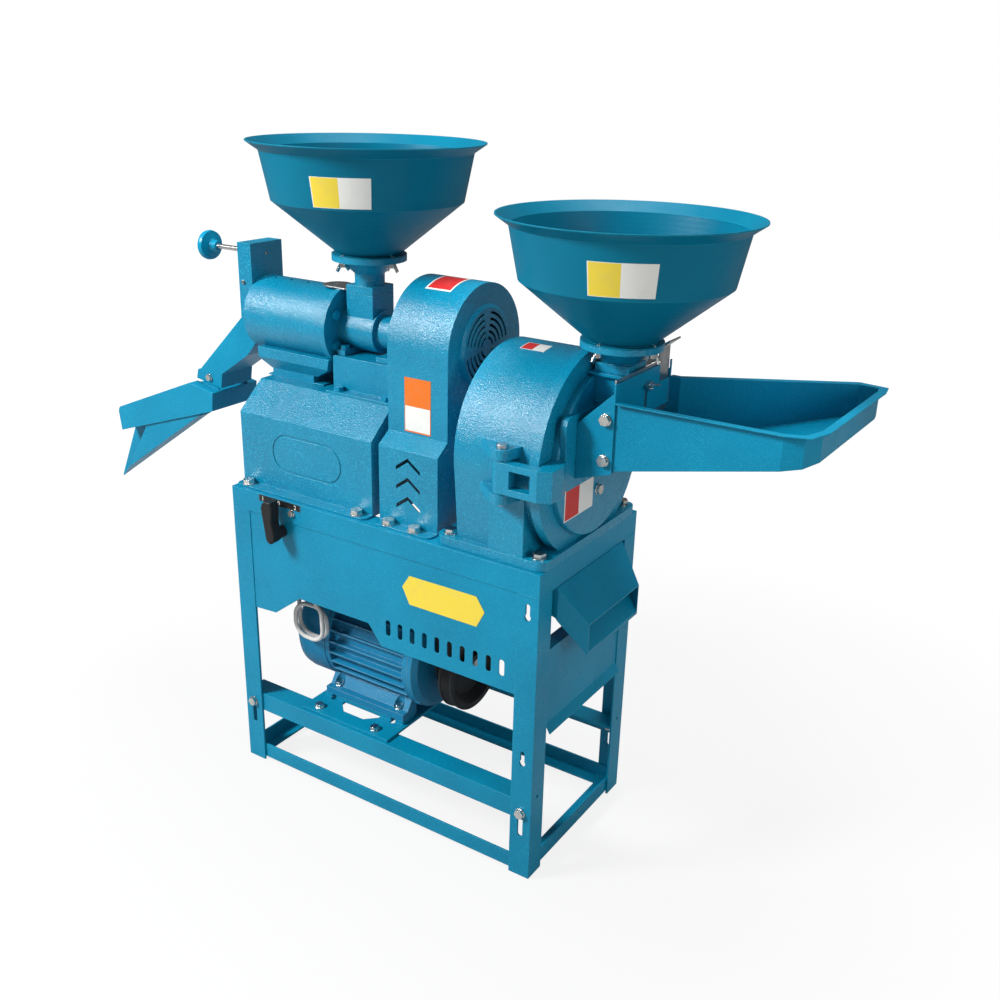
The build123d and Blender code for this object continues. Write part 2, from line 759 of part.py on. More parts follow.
def box_cover():
    t = cover_wall
    cover = end(cover_outline(0), 0, cover_length)
    cover -= end(cover_outline(t), t, cover_length - t)
    cover -= press_outline(press_radius) - press_outline(press_radius - press_line)
    flange = foot_flange(0, cover_length, cover_front - cover_flange, cover_front + t, t)
    for x, y in cover_bolts:
        flange -= rod_z(x, y, top, top + 5, m10 / 2 + bolt_hole_gap)
    cover += flange
    cover += mirrored(flange)
    cover -= block(funnel_spout[0] - seat_gap, funnel_spout[1] + seat_gap, mid - funnel_half - seat_gap,
                   mid + funnel_half + seat_gap, top + cover_height - 5, top + cover_height + 1)
    for x in pedestal_bolt_xs:
        for y in (pedestal_bolt_y, frame_depth - pedestal_bolt_y):
            cover -= rod_z(x, y, top + cover_height - 5, top + cover_height + 1, m8 / 2 + bolt_hole_gap)
    return cover


def guard_outline(inset):
    """Shape of the guard across the machine: wide foot, shoulders and a round top."""
    low = top - 2 if inset else top + seat_gap
    y0 = guard_front + inset
    y1 = mid - guard_tall_half + inset
    z1 = top + guard_low_height - inset * 0.4
    z2 = z1 + 17
    front = [(y0, low), (y0, z1), (y1, z2), (y1, guard_centre_z)]
    return front + [(frame_depth - y, z) for y, z in reversed(front)]


def arc_slot(x0, x1, radius, width, start, angle, z):
    """Curved slot round the axis at height z, from one angle through another."""
    lathe = Plane(origin=(0, mid, z), x_dir=(1, 0, 0), z_dir=(0, -1, 0))
    points = [(x0, radius - width / 2), (x1, radius - width / 2), (x1, radius + width / 2), (x0, radius + width / 2)]
    slot = revolve(lathe * Polygon(*points, align=None), Axis((0, mid, z), (1, 0, 0)), angle)
    return around_x(slot, start - 90, z)


def belt_guard():
    t = guard_wall
    guard = end(guard_outline(0), guard_left, guard_right)
    guard += rod_x(guard_left, guard_right, mid, guard_centre_z, guard_tall_half)
    guard -= end(guard_outline(t), guard_left + t, guard_right - t)
    guard -= rod_x(guard_left + t, guard_right - t, mid, guard_centre_z, guard_tall_half - t)
    dome = [(guard_right - t, 60), (guard_right, 62), (guard_right + 3, 57), (guard_right + 3, 0),
            (guard_right - t, 0)]
    guard += turned_x(dome, guard_centre_z)
    hollow = [(guard_right - t - 1, 58), (guard_right, 58), (guard_right + 1, 55), (guard_right + 1, 0),
              (guard_right - t - 1, 0)]
    guard -= turned_x(hollow, guard_centre_z)
    for radius in (14, 23, 32, 41, 50):
        for start in (10, 100, 190, 280):
            guard -= arc_slot(guard_right, guard_right + 4, radius, 3.6, start, 70, guard_centre_z)
    flange = foot_flange(guard_left, guard_right, guard_front - cover_flange, guard_front + t, t)
    for x, y in guard_bolts:
        flange -= rod_z(x, y, top, top + 5, m10 / 2 + bolt_hole_gap)
    guard += flange
    guard += mirrored(flange)
    centre = guard_left + 52
    for i in range(3):
        z = top + chevron_low + i * chevron_pitch
        arrow = [(centre - 21, z - 15), (centre, z), (centre + 22, z - 16), (centre + 22, z - 10), (centre, z + 6),
                 (centre - 21, z - 9)]
        guard -= side(arrow, guard_front - 1, guard_front + t + 1)
    guard -= rod_x(guard_left - 1, guard_left + t + 1, mid, mill_z, shaft_radius + 5)
    guard -= rod_x(guard_right - t - 1, guard_right + 1, mid, grinder_z, shaft_radius + 5)
    return guard


# Rice mill
pedestal_left = 136.0
pedestal_right = cover_length
pedestal_half = 49.0
pedestal_bolt_xs = (pedestal_left + 18, pedestal_right - 18)
pedestal_bolt_y = mid - 57.5
cover_top = top + cover_height
pedestal_top = mill_z - 35.5 - seat_gap
flange_left = casing_right + seat_gap
flange_right = flange_left + flange_wall
flange_bolt_radius = 47.0
flange_bolt_angles = (30, 90, 150, 210, 330)
barrel_right = throat_centre + throat_side / 2
foot_bolts = [(148.0, mid - 34.0), (239.0, mid - 34.0)]


def mill_pedestal():
    z0 = cover_top + seat_gap
    z1 = pedestal_top
    body = block(pedestal_left, pedestal_right, mid - pedestal_half - 18, mid + pedestal_half + 18, z0, z0 + 4)
    body += block(pedestal_left, pedestal_right, mid - pedestal_half, mid + pedestal_half, z1 - 8, z1)
    wall = block(pedestal_left, pedestal_right, mid - pedestal_half, mid - pedestal_half + 5, z0, z1)
    body += wall
    body += mirrored(wall)
    for x in pedestal_bolt_xs:
        for y in (pedestal_bolt_y, frame_depth - pedestal_bolt_y):
            body -= rod_z(x, y, z0 - 1, z0 + 5, m8 / 2 + bolt_hole_gap)
    for x, y in both_sides(foot_bolts):
        body -= rod_z(x, y, z1 - 9, z1 + 1, m8 / 2 + bolt_hole_gap)
    return body


def mill_body():
    """Casting: flange, feed barrel, square throat, bearing tube and two feet."""
    body = rod_x(flange_left, flange_right, mid, mill_z, flange_radius)
    body -= block(flange_left - 1, flange_right + 1, 0, frame_depth, mill_z - 80, mill_z - 43)
    body -= block(flange_left - 1, flange_right + 1, 0, frame_depth, mill_z + casing_radius + 0.2, mill_z + 80)
    body += rod_x(flange_right - 1, barrel_right + 4, mid, mill_z, feed_bore + barrel_wall)
    half = throat_side / 2
    body += block(throat_centre - half, throat_centre + half, mid - half, mid + half, mill_z, top + throat_top)
    body += rod_x(barrel_right + 3, housing_right, mid, mill_z, bearing_radius + bearing_wall)
    foot_z = pedestal_top + seat_gap
    for x0, x1 in ((140.0, 156.0), (216.0, housing_right - 12)):
        body += block(x0, x1, mid - 44, mid + 44, foot_z, foot_z + 8)
        body += block(x0 + 2, x1 - 2, mid - 20, mid + 20, foot_z + 7, mill_z - 12)
    for x, y in both_sides(foot_bolts):
        body -= rod_z(x, y, foot_z - 1, foot_z + 9, m8 / 2 + bolt_hole_gap)
    body -= rod_x(flange_left - 1, barrel_right, mid, mill_z, feed_bore)
    body -= rod_x(flange_left - 1, flange_left + 6, mid, mill_z, screen_radius + seat_gap)
    body -= rod_x(barrel_right - 1, housing_right + 1, mid, mill_z, shaft_radius + 1)
    body -= rod_x(barrel_right + 8, housing_right + 1, mid, mill_z, bearing_radius + 0.02)
    open_half = half - 7
    body -= block(throat_centre - open_half, throat_centre + open_half, mid - open_half, mid + open_half, mill_z,
                  top + throat_top + 1)
    for angle in flange_bolt_angles:
        hole = rod_x(flange_left - 1, flange_right + 1, mid + flange_bolt_radius, mill_z, m8 / 2 + bolt_hole_gap)
        body -= around_x(hole, angle, mill_z)
    return body


def mill_casing():
    """Outer drum of the mill with its outlet wall, open below for the bran."""
    x0 = casing_left
    x1 = casing_right
    r = casing_radius
    t = casing_wall
    seat = screen_radius + seat_gap
    outline = [(x0, seat - 5), (x0, r), (x1, r), (x1, 38), (x1 - 6, 38), (x1 - 6, r - t), (x0 + 4, r - t),
               (x0 + 4, seat + 4), (x0 + 10, seat + 4), (x0 + 10, seat), (x0 + 4, seat), (x0 + 4, seat - 5)]
    casing = turned_x(outline, mill_z)
    casing -= block(2, 96, mid - 30, mid + 30, mill_z - r - 1, mill_z - r + 14)
    for i in range(4):
        hole = rod_z(0, mid, mill_z + r - 6, mill_z + r + 1, 3.2)
        casing -= around_x(Pos(-13 + i * 33.3, 0, 0) * hole, 6, mill_z)
    for angle in flange_bolt_angles:
        hole = rod_x(x1 - 7, x1 + 1, mid + flange_bolt_radius, mill_z, m8 / 2 + bolt_hole_gap)
        casing -= around_x(hole, angle, mill_z)
    return casing


def mill_screen():
    x0 = casing_left + 4 + seat_gap
    x1 = flange_left + 6 - seat_gap
    screen = rod_x(x0, x1, mid, mill_z, screen_radius)
    screen -= rod_x(x0 - 1, x1 + 1, mid, mill_z, screen_radius - screen_wall)
    for row in range(6):
        x = x0 + 24 + row * 23
        for i in range(6):
            cut = block(x - 8, x + 8, mid - screen_radius - 2, mid + screen_radius + 2, mill_z - 1.2, mill_z + 1.2)
            screen -= around_x(cut, 30 * i + (15 if row % 2 else 0), mill_z)
    return screen


def mill_shaft():
    shaft = rod_x(-30, mill_belt_x + pulley_width / 2 + 1, mid, mill_z, shaft_radius)
    return chamfer(shaft.edges().filter_by(GeomType.CIRCLE), 1)


def milling_roller():
    """Ribbed roller with the feed screw on its right; the screw is one helical flight."""
    x0 = -32.0
    knee = 62.0
    x1 = barrel_right - 3
    bore = shaft_radius + running_gap
    body = rod_x(x0, knee, mid, mill_z, roller_radius)
    for i in range(4):
        rib = block(x0, knee - 3, mid + roller_radius - 2, mid + roller_radius + roller_rib, mill_z - 5, mill_z + 5)
        body += around_x(rib, 90 * i + 20, mill_z)
    body += rod_x(knee - 1, x1, mid, mill_z, screw_root)
    turns = x1 - 7 - knee - 2
    r = feed_bore - 0.6
    flight = Polygon((screw_root - 1.5, -3), (r, -2), (r, 2), (screw_root - 1.5, 3), align=None)
    path = Helix(screw_pitch, turns, screw_root)
    section = Plane(origin=(0, 0, 0), x_dir=(1, 0, 0), z_dir=(0, -1, 0)) * flight
    screw = sweep(section, path=path, is_frenet=True)
    body += Pos(knee + 5, mid, mill_z) * Rot(0, 90, 0) * screw
    return body - rod_x(x0 - 1, x1 + 1, mid, mill_z, bore)


def bearing(x0, width, outer, inner, z):
    """Sealed ball bearing drawn as its outline: two rings and recessed shields."""
    x1 = x0 + width
    mid_low = inner + (outer - inner) * 0.3
    mid_high = outer - (outer - inner) * 0.25
    s = 0.8
    outline = [(x0 + 0.6, inner), (x0, inner + 0.6), (x0, mid_low), (x0 + s, mid_low), (x0 + s, mid_high),
               (x0, mid_high), (x0, outer - 0.6), (x0 + 0.6, outer), (x1 - 0.6, outer), (x1, outer - 0.6),
               (x1, mid_high), (x1 - s, mid_high), (x1 - s, mid_low), (x1, mid_low), (x1, inner + 0.6),
               (x1 - 0.6, inner)]
    return turned_x(outline, z)


grinder_tube_left = 384.0


def bearings():
    inner = shaft_radius + running_gap
    left = barrel_right + 8.2
    rings = [bearing(left, bearing_width, bearing_radius, inner, mill_z)]
    rings.append(bearing(housing_right - bearing_width - 4, bearing_width, bearing_radius, inner, mill_z))
    rings.append(bearing(grinder_tube_left + 4, bearing_width, bearing_radius, inner, grinder_z))
    rings.append(bearing(drum_left + 2 - bearing_width - 0.2, bearing_width, bearing_radius, inner, grinder_z))
    inner = motor_shaft_radius + running_gap
    w = motor_bearing_width
    rings.append(bearing(motor_left + 6.2, w, motor_bearing_radius, inner, motor_z))
    bell = motor_right + seat_gap + end_bell_length
    rings.append(bearing(bell - 5.2 - w, w, motor_bearing_radius, inner, motor_z))
    return rings


def bran_funnel():
    """Sheet funnel under the mill drum: it catches the bran and drops it into the box."""
    t = 2.0
    z0 = cover_top + 13
    z1 = mill_z - 44
    long = [(-15, z1), (132, z1), (128, z1 - 18), (98, z0), (2, z0), (-15, z1 - 18)]
    cross = [(mid - 54.5, z1), (mid + 54.5, z1), (mid + 54.5, z1 - 16), (mid + funnel_half, z0),
             (mid - funnel_half, z0), (mid - 54.5, z1 - 16)]
    body = side(long, 0, frame_depth) & end(cross, -20, 140)
    long_in = [(-15 + t, z1 - t), (132 - t, z1 - t), (128 - t, z1 - 17), (98 - t, z0 - 1), (2 + t, z0 - 1),
               (-15 + t, z1 - 17)]
    cross_in = [(mid - 54.5 + t, z1 - t), (mid + 54.5 - t, z1 - t), (mid + 54.5 - t, z1 - 16.5),
                (mid + funnel_half - t, z0 - 1), (mid - funnel_half + t, z0 - 1), (mid - 54.5 + t, z1 - 16.5)]
    a, b = funnel_spout
    body += block(a, b, mid - funnel_half, mid + funnel_half, cover_top - 6, z0 + 3)
    body += block(-6, a + 1, mid - funnel_half, mid + funnel_half, cover_top + seat_gap, cover_top + seat_gap + t)
    body += block(b - 1, 110, mid - funnel_half, mid + funnel_half, cover_top + seat_gap, cover_top + seat_gap + t)
    body -= side(long_in, 0, frame_depth) & end(cross_in, -20, 140)
    body -= block(a + t, b - t, mid - funnel_half + t, mid + funnel_half - t, cover_top - 7, z0 + 8)
    body -= rod_x(casing_left, casing_right + 1, mid, mill_z, casing_radius + seat_gap)
    return body - rod_x(flange_left - seat_gap, flange_right + seat_gap, mid, mill_z, flange_radius + seat_gap)


# Rice outlet
box_right = casing_left - seat_gap
flap_pivot_x = -57.5
flap_pivot_z = top + flap_pivot_height
pressure_z = top + screw_height


def outlet_box():
    t = box_wall
    z0 = top + box_bottom
    z1 = top + box_top
    body = block(box_left, box_right, mid - box_half, mid + box_half, z0, z1)
    body -= block(box_left + t, box_right - t, mid - box_half + t, mid + box_half - t, z0 - 1, z1 - t)
    body += block(box_right - t, box_right, mid - box_half, mid + box_half, z0 - 40, z0 + 1)
    body -= rod_x(box_right - t - 1, box_right + 1, mid, mill_z, screen_radius + seat_gap - 5)
    body += rod_x(box_left - 10, box_left + 1, mid, pressure_z, 9)
    body -= rod_x(box_left - 11, box_left + t + 1, mid, pressure_z, pressure_screw_radius + running_gap)
    body -= rod_x(box_right - t - 1, box_right + 1, mid, pressure_z, 3.2)
    return body - rod_y(flap_pivot_x, mid - box_half - 1, mid + box_half + 1, flap_pivot_z, 3.05)


def pressure_flap():
    x1 = box_right - box_wall - 0.5
    x0 = x1 - flap_wall
    flap = rod_x(x0, x1, mid, mill_z, flap_radius)
    low = [(flap_pivot_x - 4, flap_pivot_z), (flap_pivot_x + 4, flap_pivot_z), (x1 - 1, mill_z + 20),
           (x1 - 1, mill_z - 12), (x0 - 4, mill_z - 12), (x0 - 4, mill_z + 20)]
    flap += side(low, mid - 7, mid + 7)
    arm = box_left + box_wall + 2
    high = [(flap_pivot_x - 4, flap_pivot_z), (flap_pivot_x + 4, flap_pivot_z), (arm + 4, flap_pivot_z + 24),
            (arm + 4, pressure_z + 8), (arm, pressure_z + 8), (arm, flap_pivot_z + 22)]
    flap += side(high, mid - 10, mid + 10)
    flap -= rod_x(arm - 1, arm + 8, mid, pressure_z, pressure_screw_radius + 1.6)
    flap += rod_y(flap_pivot_x, mid - 20, mid + 20, flap_pivot_z, 6)
    return flap + rod_y(flap_pivot_x, mid - box_half - 3, mid + box_half + 3, flap_pivot_z, 3)


collar_left = box_right - box_wall - 4.4
spring_length = 8.0
spring_left = collar_left - seat_gap - spring_length
screw_lead = 1.75


def pressure_spring():
    path = Helix(2.4, spring_length - 1.6, pressure_screw_radius + 3.2)
    wire = Plane(origin=path @ 0, z_dir=path % 0) * Circle(0.75)
    coil = sweep(wire, path=path, is_frenet=True)
    return Pos(spring_left + 0.8, mid, pressure_z) * Rot(0, 90, 0) * coil


def pressure_screw():
    """Screw rod with its collar inside the box and a dished handwheel outside."""
    r = pressure_screw_radius
    tip = box_right - 0.5
    collar = collar_left
    rod = rod_x(handwheel_x + 6, collar + 1, mid, pressure_z, r)
    rod += rod_x(collar, tip, mid, pressure_z, 2.9)
    rod += rod_x(collar, collar + 3, mid, pressure_z, 9)
    x = handwheel_x
    wheel = [(x - 4, 0), (x - 4, 7), (x - 2, 17), (x - 7, 19), (x - 7, handwheel_radius - 1),
             (x - 3, handwheel_radius), (x + 2, handwheel_radius - 1), (x + 3, 18), (x + 5, 11), (x + 16, 7),
             (x + 16, 0)]
    return rod + turned_x(wheel, pressure_z)


def hood_line():
    return [(box_left, top + box_bottom - seat_gap), (-172, 640), (-179, 638), (-183, 622), (-126, 613), (-122, 638),
            (-60, 680), (box_right - box_wall - seat_gap, 700),
            (box_right - box_wall - seat_gap, top + box_bottom - seat_gap)]


def rice_hood():
    t = 2.0
    x1 = box_right - box_wall - seat_gap
    hood = side(hood_line(), mid - box_half, mid + box_half)
    inner = [(box_left + t, 745), (box_left + t, 740.8), (-171.2, 637.9), (-177.4, 636.1), (-181.6, 617),
             (-128.6, 609), (-123.9, 639.3), (-61.3, 681.7), (x1 - 1.5, 701.5), (x1 + 2, 705.5), (x1 + 2, 745)]
    hood -= side(inner, mid - box_half + t, mid + box_half - t)
    for y0, y1 in ((mid - box_half - 1, mid - box_half + t + 1), (mid + box_half - t - 1, mid + box_half + 1)):
        hood -= rod_y(tab_x, y0, y1, tab_z, 3.4)
    return hood


tab_x = -152.0
tab_z = 628.0
tray_half = 51.5
tray_sheet = 1.5


def tray_floor_z(x):
    return 575 + (x + 134) * (575 - 496) / (373 - 134)


def rice_tray():
    """Inclined delivery channel, slotted over the trough that takes the broken grains."""
    t = tray_sheet
    outer = Polygon((-378, 538), (-186, 616), (-130, 607), (-134, 575), (-373, 496), align=None)
    nose = outer.vertices().sort_by_distance((-378, 538, 0))[0]
    outer = fillet([nose], 12)
    tray = extrude(Plane.XZ.offset(-mid - tray_half) * outer, amount=2 * tray_half, dir=(0, -1, 0))
    inner = [(-390, 545), (-378, 541), (-186, 620), (-131.5, 611), (-135.5, 575 + t), (-373, 496 + t * 1.05),
             (-390, 490 + t)]
    tray -= side(inner, mid - tray_half + t, mid + tray_half - t)
    ledge = side([(-186, 616), (-130, 607), (-130, 605.5), (-186, 614.5)], mid - tray_half, mid - box_half + 4)
    lug = block(-170, -135, mid - box_half + 2.3, mid - box_half + 4, 606, 636)
    lug -= side([(-170, 600), (-170, 613), (-135, 607.4), (-135, 600)], mid - 40, mid)
    lug -= rod_y(tab_x, mid - 40, mid, tab_z, 3.4)
    for piece in (ledge, lug):
        tray += piece
        tray += mirrored(piece)
    for i in range(6):
        x = -205.0 - i * 17
        z = tray_floor_z(x)
        tray -= block(x - 3, x + 3, mid - 44.5, mid - 26, z - 5, z + 6)
    return tray


def broken_rice_chute():
    t = tray_sheet
    gap = seat_gap + 0.05
    y0 = mid - 48.5
    y1 = mid - 21.5

    def under(x):
        return tray_floor_z(x) - gap

    foot = (-172, 561)
    slope = 171 / 249
    far = [foot, (-172, under(-172)), (-371, under(-371)), (-421, 390)]
    near = [foot, (-172, under(-172)), (-308, under(-308)), (-365, 561 - slope * 193)]
    body = side(near, y0, y0 + t)
    body += side(far, y1 - t, y1)
    slab = side([foot, (-421, 390), (-421, 390 - t * 1.2), (-172, 561 - t * 1.2)], y0, y1)
    slab &= plan([(-171, y0), (-365, y0), (-421, y1), (-171, y1)], 380, 570)
    body += slab
    return body + block(-172, -172 + t, y0, y1, 561 - t * 1.2, under(-172))


# Hoppers and their gates
def hopper(x, rim):
    z = top + rim
    t = hopper_wall
    knee = z - hopper_knee_drop
    mouth = z - hopper_mouth_drop
    r0 = hopper_mouth_radius
    wall = [(r0 - 1.5, mouth + t), (hopper_knee_radius - t, knee + 0.5), (hopper_top_radius - t, z - hopper_lip + 0.8),
            (hopper_rim_radius - 2, z), (hopper_rim_radius, z), (hopper_rim_radius, z - t),
            (hopper_top_radius, z - hopper_lip), (hopper_knee_radius, knee), (r0 + 0.5, mouth + t), (r0 + 0.5, mouth),
            (r0 - 1.5, mouth)]
    shell = turned_z(wall, x)
    ring = [(r0 - 1.5, mouth), (collar_radius, mouth), (collar_radius, mouth + t), (r0 - 1.5, mouth + t)]
    shell += turned_z(ring, x)
    for angle in hopper_screw_angles:
        shell -= spoke(rod_z(x + hopper_screw_radius, mid, mouth - 1, mouth + 5, 3.4), x, angle)
    return shell


hopper_screw_radius = 51.0
collar_flat = 33.3
hopper_screw_angles = (-100.0, -10.0, 80.0)


def spoke(shape, x, angle):
    return shape.rotate(Axis((x, mid, 0), (0, 0, 1)), angle)


def collar(x, rim, base, turn):
    """Casting between hopper and throat: ring, funnel, neck and a square block with the gate slot."""
    zt = top + rim - hopper_mouth_drop - seat_gap
    rn = collar_neck_radius
    t = collar_wall
    outline = [(hopper_mouth_radius - 2, zt), (collar_radius, zt), (collar_radius, zt - 8), (44.5, zt - 8),
               (rn, zt - 28), (rn, base + 4), (rn - t, base + 4), (rn - t, zt - 27)]
    body = turned_z(outline, x)
    body -= block(x - 60, x - collar_flat, mid - 60, mid + 60, base, zt - 8)
    half = throat_side / 2
    body += block(x - half, x + half, mid - half, mid + half, base, base + 11.7)
    body -= block(x - half + 7, x + half - 7, mid - half + 7, mid + half - 7, base - 1, base + 6)
    body -= rod_z(x, mid, base + 3, base + 13, rn - t)
    slot = block(x - half - 1, x + half - 1.5, mid - half + 2, mid + half - 2, base + 1.8, base + 4.2)
    body -= spoke(slot, x, turn)
    for angle in hopper_screw_angles:
        body -= spoke(rod_z(x + hopper_screw_radius, mid, zt - 9, zt + 1, 3.4), x, angle)
    return body


def slide_gate(x, base, turn):
    """Gate plate with a round finger tab, drawn closed."""
    half = throat_side / 2
    z = base + 2.0
    y0 = mid - half + 2.5
    plate = block(x - half - 24, x + half - 2, y0, frame_depth - y0, z, z + gate_wall)
    tab = rod_z(x - half - 38, mid, z, z + gate_wall, 22.5)
    plate += tab + block(x - half - 40, x - half - 20, mid - 20, mid + 20, z, z + gate_wall)
    plate -= rod_z(x - half - 44, mid, z - 1, z + 4, 5)
    return spoke(plate, x, turn)


def hopper_screws(x, rim):
    z = top + rim - hopper_mouth_drop - seat_gap - 8
    screws = []
    for angle in hopper_screw_angles:
        seat = facing(x + hopper_screw_radius, mid, z, (0, 0, -1))
        screws.append(spoke(wing_screw(seat, 6.0, 11.0), x, angle))
    return screws


rice_gate_base = top + throat_top + seat_gap
duct_top = 756.0
grinder_gate_base = duct_top + seat_gap


# Grinder
mouth_top = grinder_z + 77
lug_low = grinder_z - 39
lug_high = grinder_z + 22


def grinder_body():
    """Casting: drum, side blocks, base, bearing tube and the two hinge lugs."""
    body = rod_x(drum_left, drum_front, mid, grinder_z, drum_radius)
    z0 = top + seat_gap
    z1 = z0 + base_wall
    skirt = [(mid - drum_radius, grinder_z), (mid - block_half, z1 - 1), (mid + block_half, z1 - 1),
             (mid + drum_radius, grinder_z)]
    body += end(skirt, drum_left, block_right)
    base = Polygon((base_left, base_inset), (base_right, base_inset), (base_right, frame_depth - base_inset),
                   (base_left, frame_depth - base_inset), align=None)
    body += extrude(Plane.XY.offset(z0) * fillet(base.vertices(), 15), amount=base_wall, dir=(0, 0, 1))
    body += rod_x(drum_front, drum_front + rim_width, mid, grinder_z, rim_radius)
    body += block(block_right - 55, block_right, mid - block_half - 7, mid, z1 - 1, z1 + 85)
    body += rod_x(grinder_tube_left, drum_left + 1, mid, grinder_z, bearing_radius + 6)
    body += block(base_left + 2, drum_left + 1, mid - 6, mid + 6, z1 - 1, grinder_z - 22)
    body -= block(drum_left - 60, drum_front + 40, 0, frame_depth, z0 - 30, z0)
    body -= rod_x(drum_left + 8, drum_front + 0, mid, grinder_z, drum_radius - drum_wall)
    body -= rod_x(drum_front - 1, drum_front + rim_width + 1, mid, grinder_z, mouth_radius)
    seat = [(drum_left + 7, sieve_radius + sieve_wall + seat_gap), (drum_left + 7, sieve_radius + sieve_wall + 5),
            (sieve_left + 6, sieve_radius + sieve_wall + 5), (sieve_left + 6, sieve_radius + sieve_wall + seat_gap)]
    body += turned_x(seat, grinder_z)
    body -= block(drum_left + 32, block_right - 1, mid - 48.5, mid + 48.5, z0 - 1, grinder_z - 112)
    body -= rod_x(grinder_tube_left - 1, drum_left + 9, mid, grinder_z, shaft_radius + 1)
    body -= rod_x(grinder_tube_left - 1, drum_left + 2, mid, grinder_z, bearing_radius + 0.02)
    for x, y in both_sides(base_bolts):
        body -= rod_z(x, y, z0 - 1, z1 + 1, m10 / 2 + bolt_hole_gap)
    ear = plan([(462, 12), (500, pin_y - 10), (pin_x, pin_y - 13), (pin_x + 13, pin_y), (530, 8), (530, 16)], 0,
               lug_wall)
    ear += rod_z(pin_x, pin_y, 0, lug_wall, 13)
    ear -= rod_z(pin_x, pin_y, -1, lug_wall + 1, pin_radius + running_gap)
    for z in (lug_low, lug_high):
        inside = rod_x(drum_left, drum_front, mid, grinder_z, drum_radius - 4)
        body += Pos(0, 0, z) * ear - inside
    return body


sieve_left = drum_left + 25.0


def ring_sieve():
    x1 = drum_front - 9
    ring = rod_x(sieve_left, x1, mid, grinder_z, sieve_radius + sieve_wall)
    ring -= rod_x(sieve_left - 1, x1 + 1, mid, grinder_z, sieve_radius)
    for row in range(5):
        x = sieve_left + 16 + row * 15
        for i in range(12):
            cut = rod_y(x, mid - sieve_radius - 4, mid + sieve_radius + 4, grinder_z, 3.0)
            ring -= around_x(cut, 15 * i + (7.5 if row % 2 else 0), grinder_z)
    return ring


def grinder_shaft():
    shaft = rod_x(grinder_belt_x - pulley_width / 2, disc_left + disc_wall + 3, mid, grinder_z, shaft_radius)
    return chamfer(shaft.edges().filter_by(GeomType.CIRCLE), 1)


disc_left = 500.0
stator_left = 541.0


def claw(x0, x1, radius, angle):
    pin = Pos((x0 + x1) / 2, mid + radius, grinder_z) * Box(x1 - x0, claw_size, claw_size)
    pin = chamfer(pin.edges().filter_by(Axis.X), 1.5)
    return around_x(pin, angle, grinder_z)


def claw_rotor():
    """Beater disc: three rings of claws that pass between the rings on the door."""
    rotor = rod_x(disc_left, disc_left + disc_wall, mid, grinder_z, disc_radius)
    rotor += rod_x(disc_left - 28, disc_left + 1, mid, grinder_z, 22)
    for radius, count in rotor_rings:
        for i in range(count):
            rotor += claw(disc_left + disc_wall - 1, disc_left + disc_wall + claw_height, radius, 360.0 / count * i)
    return rotor - rod_x(disc_left - 30, disc_left + disc_wall + 1, mid, grinder_z, shaft_radius + running_gap)


def stator_claws():
    x1 = drum_front - seat_gap
    plate = rod_x(stator_left, x1, mid, grinder_z, 82)
    for radius, count in stator_rings:
        for i in range(count):
            plate += claw(stator_left - claw_height + 1, stator_left + 1, radius, 360.0 / count * (i + 0.5))
    plate -= rod_x(stator_left - 1, x1 + 1, mid, grinder_z, 26)
    for y, z in stator_bolts:
        plate -= rod_x(stator_left - 1, x1 + 1, y, z, m8 / 2 + bolt_hole_gap)
    return plate


door_left = drum_front + rim_width + seat_gap
door_right = door_left + door_wall
stator_bolts = [(mid, grinder_z - 54), (mid - 51, grinder_z + 22), (mid + 51, grinder_z + 22)]


def grinder_door():
    """Cast door with the stator boss, the frame of the feed mouth and the hinge arm."""
    door = rod_x(door_left, door_right, mid, grinder_z, door_radius)
    door = fillet(door.edges().group_by(Axis.X)[-1], 3)
    door += rod_x(drum_front, door_left + 1, mid, grinder_z, 62)
    frame = [(mid - 111.5, grinder_z - 25), (mid + 111.5, grinder_z - 25), (mid + 111.5, mouth_top),
             (mid - 111.5, mouth_top)]
    plate = fillet(Polygon(*frame, align=None).vertices(), 12)
    door += extrude(Plane.YZ.offset(door_right - 1) * plate, amount=throat_frame_wall + 1, dir=(1, 0, 0))
    window = [(mid - throat_half, grinder_z - 9), (mid + throat_half, grinder_z - 9), (mid + throat_half, mouth_top - 12),
              (mid - throat_half, mouth_top - 12)]
    door -= end(window, door_right, door_right + 12)
    door -= block(drum_front - 1, door_right + 1, mid - 38.5, mid + 38.5, grinder_z - 8, grinder_z + 36)
    for y, z in stator_bolts:
        door -= rod_x(drum_front - 1, door_right + 1, y, z, m8 / 2 + bolt_hole_gap)
    low = grinder_z - knuckle_half - 1.5
    high = grinder_z + knuckle_half - 1.5
    arm = plan([(pin_x, pin_y - knuckle_radius), (572, pin_y - 12), (590, 8 + pin_y - 11), (590, 25 + pin_y), (576, 50),
                (566, 50), (566, pin_y + 3.5), (pin_x, pin_y + 3.5)], low, high)
    arm += rod_z(pin_x, pin_y, lug_low + lug_wall + 0.6, lug_high - 0.6, knuckle_radius)
    arm -= block(pin_x + 18, 562, pin_y - 30, pin_y + 20, low + 9, high - 9)
    door += arm
    return door - rod_z(pin_x, pin_y, lug_low, lug_high + lug_wall, pin_radius + running_gap)


def hinge_pin():
    pin = rod_z(pin_x, pin_y, lug_low - 4, lug_high + lug_wall + 4, pin_radius)
    return pin + rod_z(pin_x, pin_y, lug_high + lug_wall + seat_gap, lug_high + lug_wall + 6, 8)


# Feed throat and tray, carried by the door
throat_left = door_right + throat_frame_wall + seat_gap
throat_floor = 623.0
throat_mouth = 640.0
header_top = 760.0
gate_plate_x = throat_right - 4.3
gate_margin = 4.5
gate_travel = 44.0
gate_ear_y = mid + 47
gate_ear_top = 781.0
cheek_bolts = ((622.0, 712.0), (622.0, 657.0))


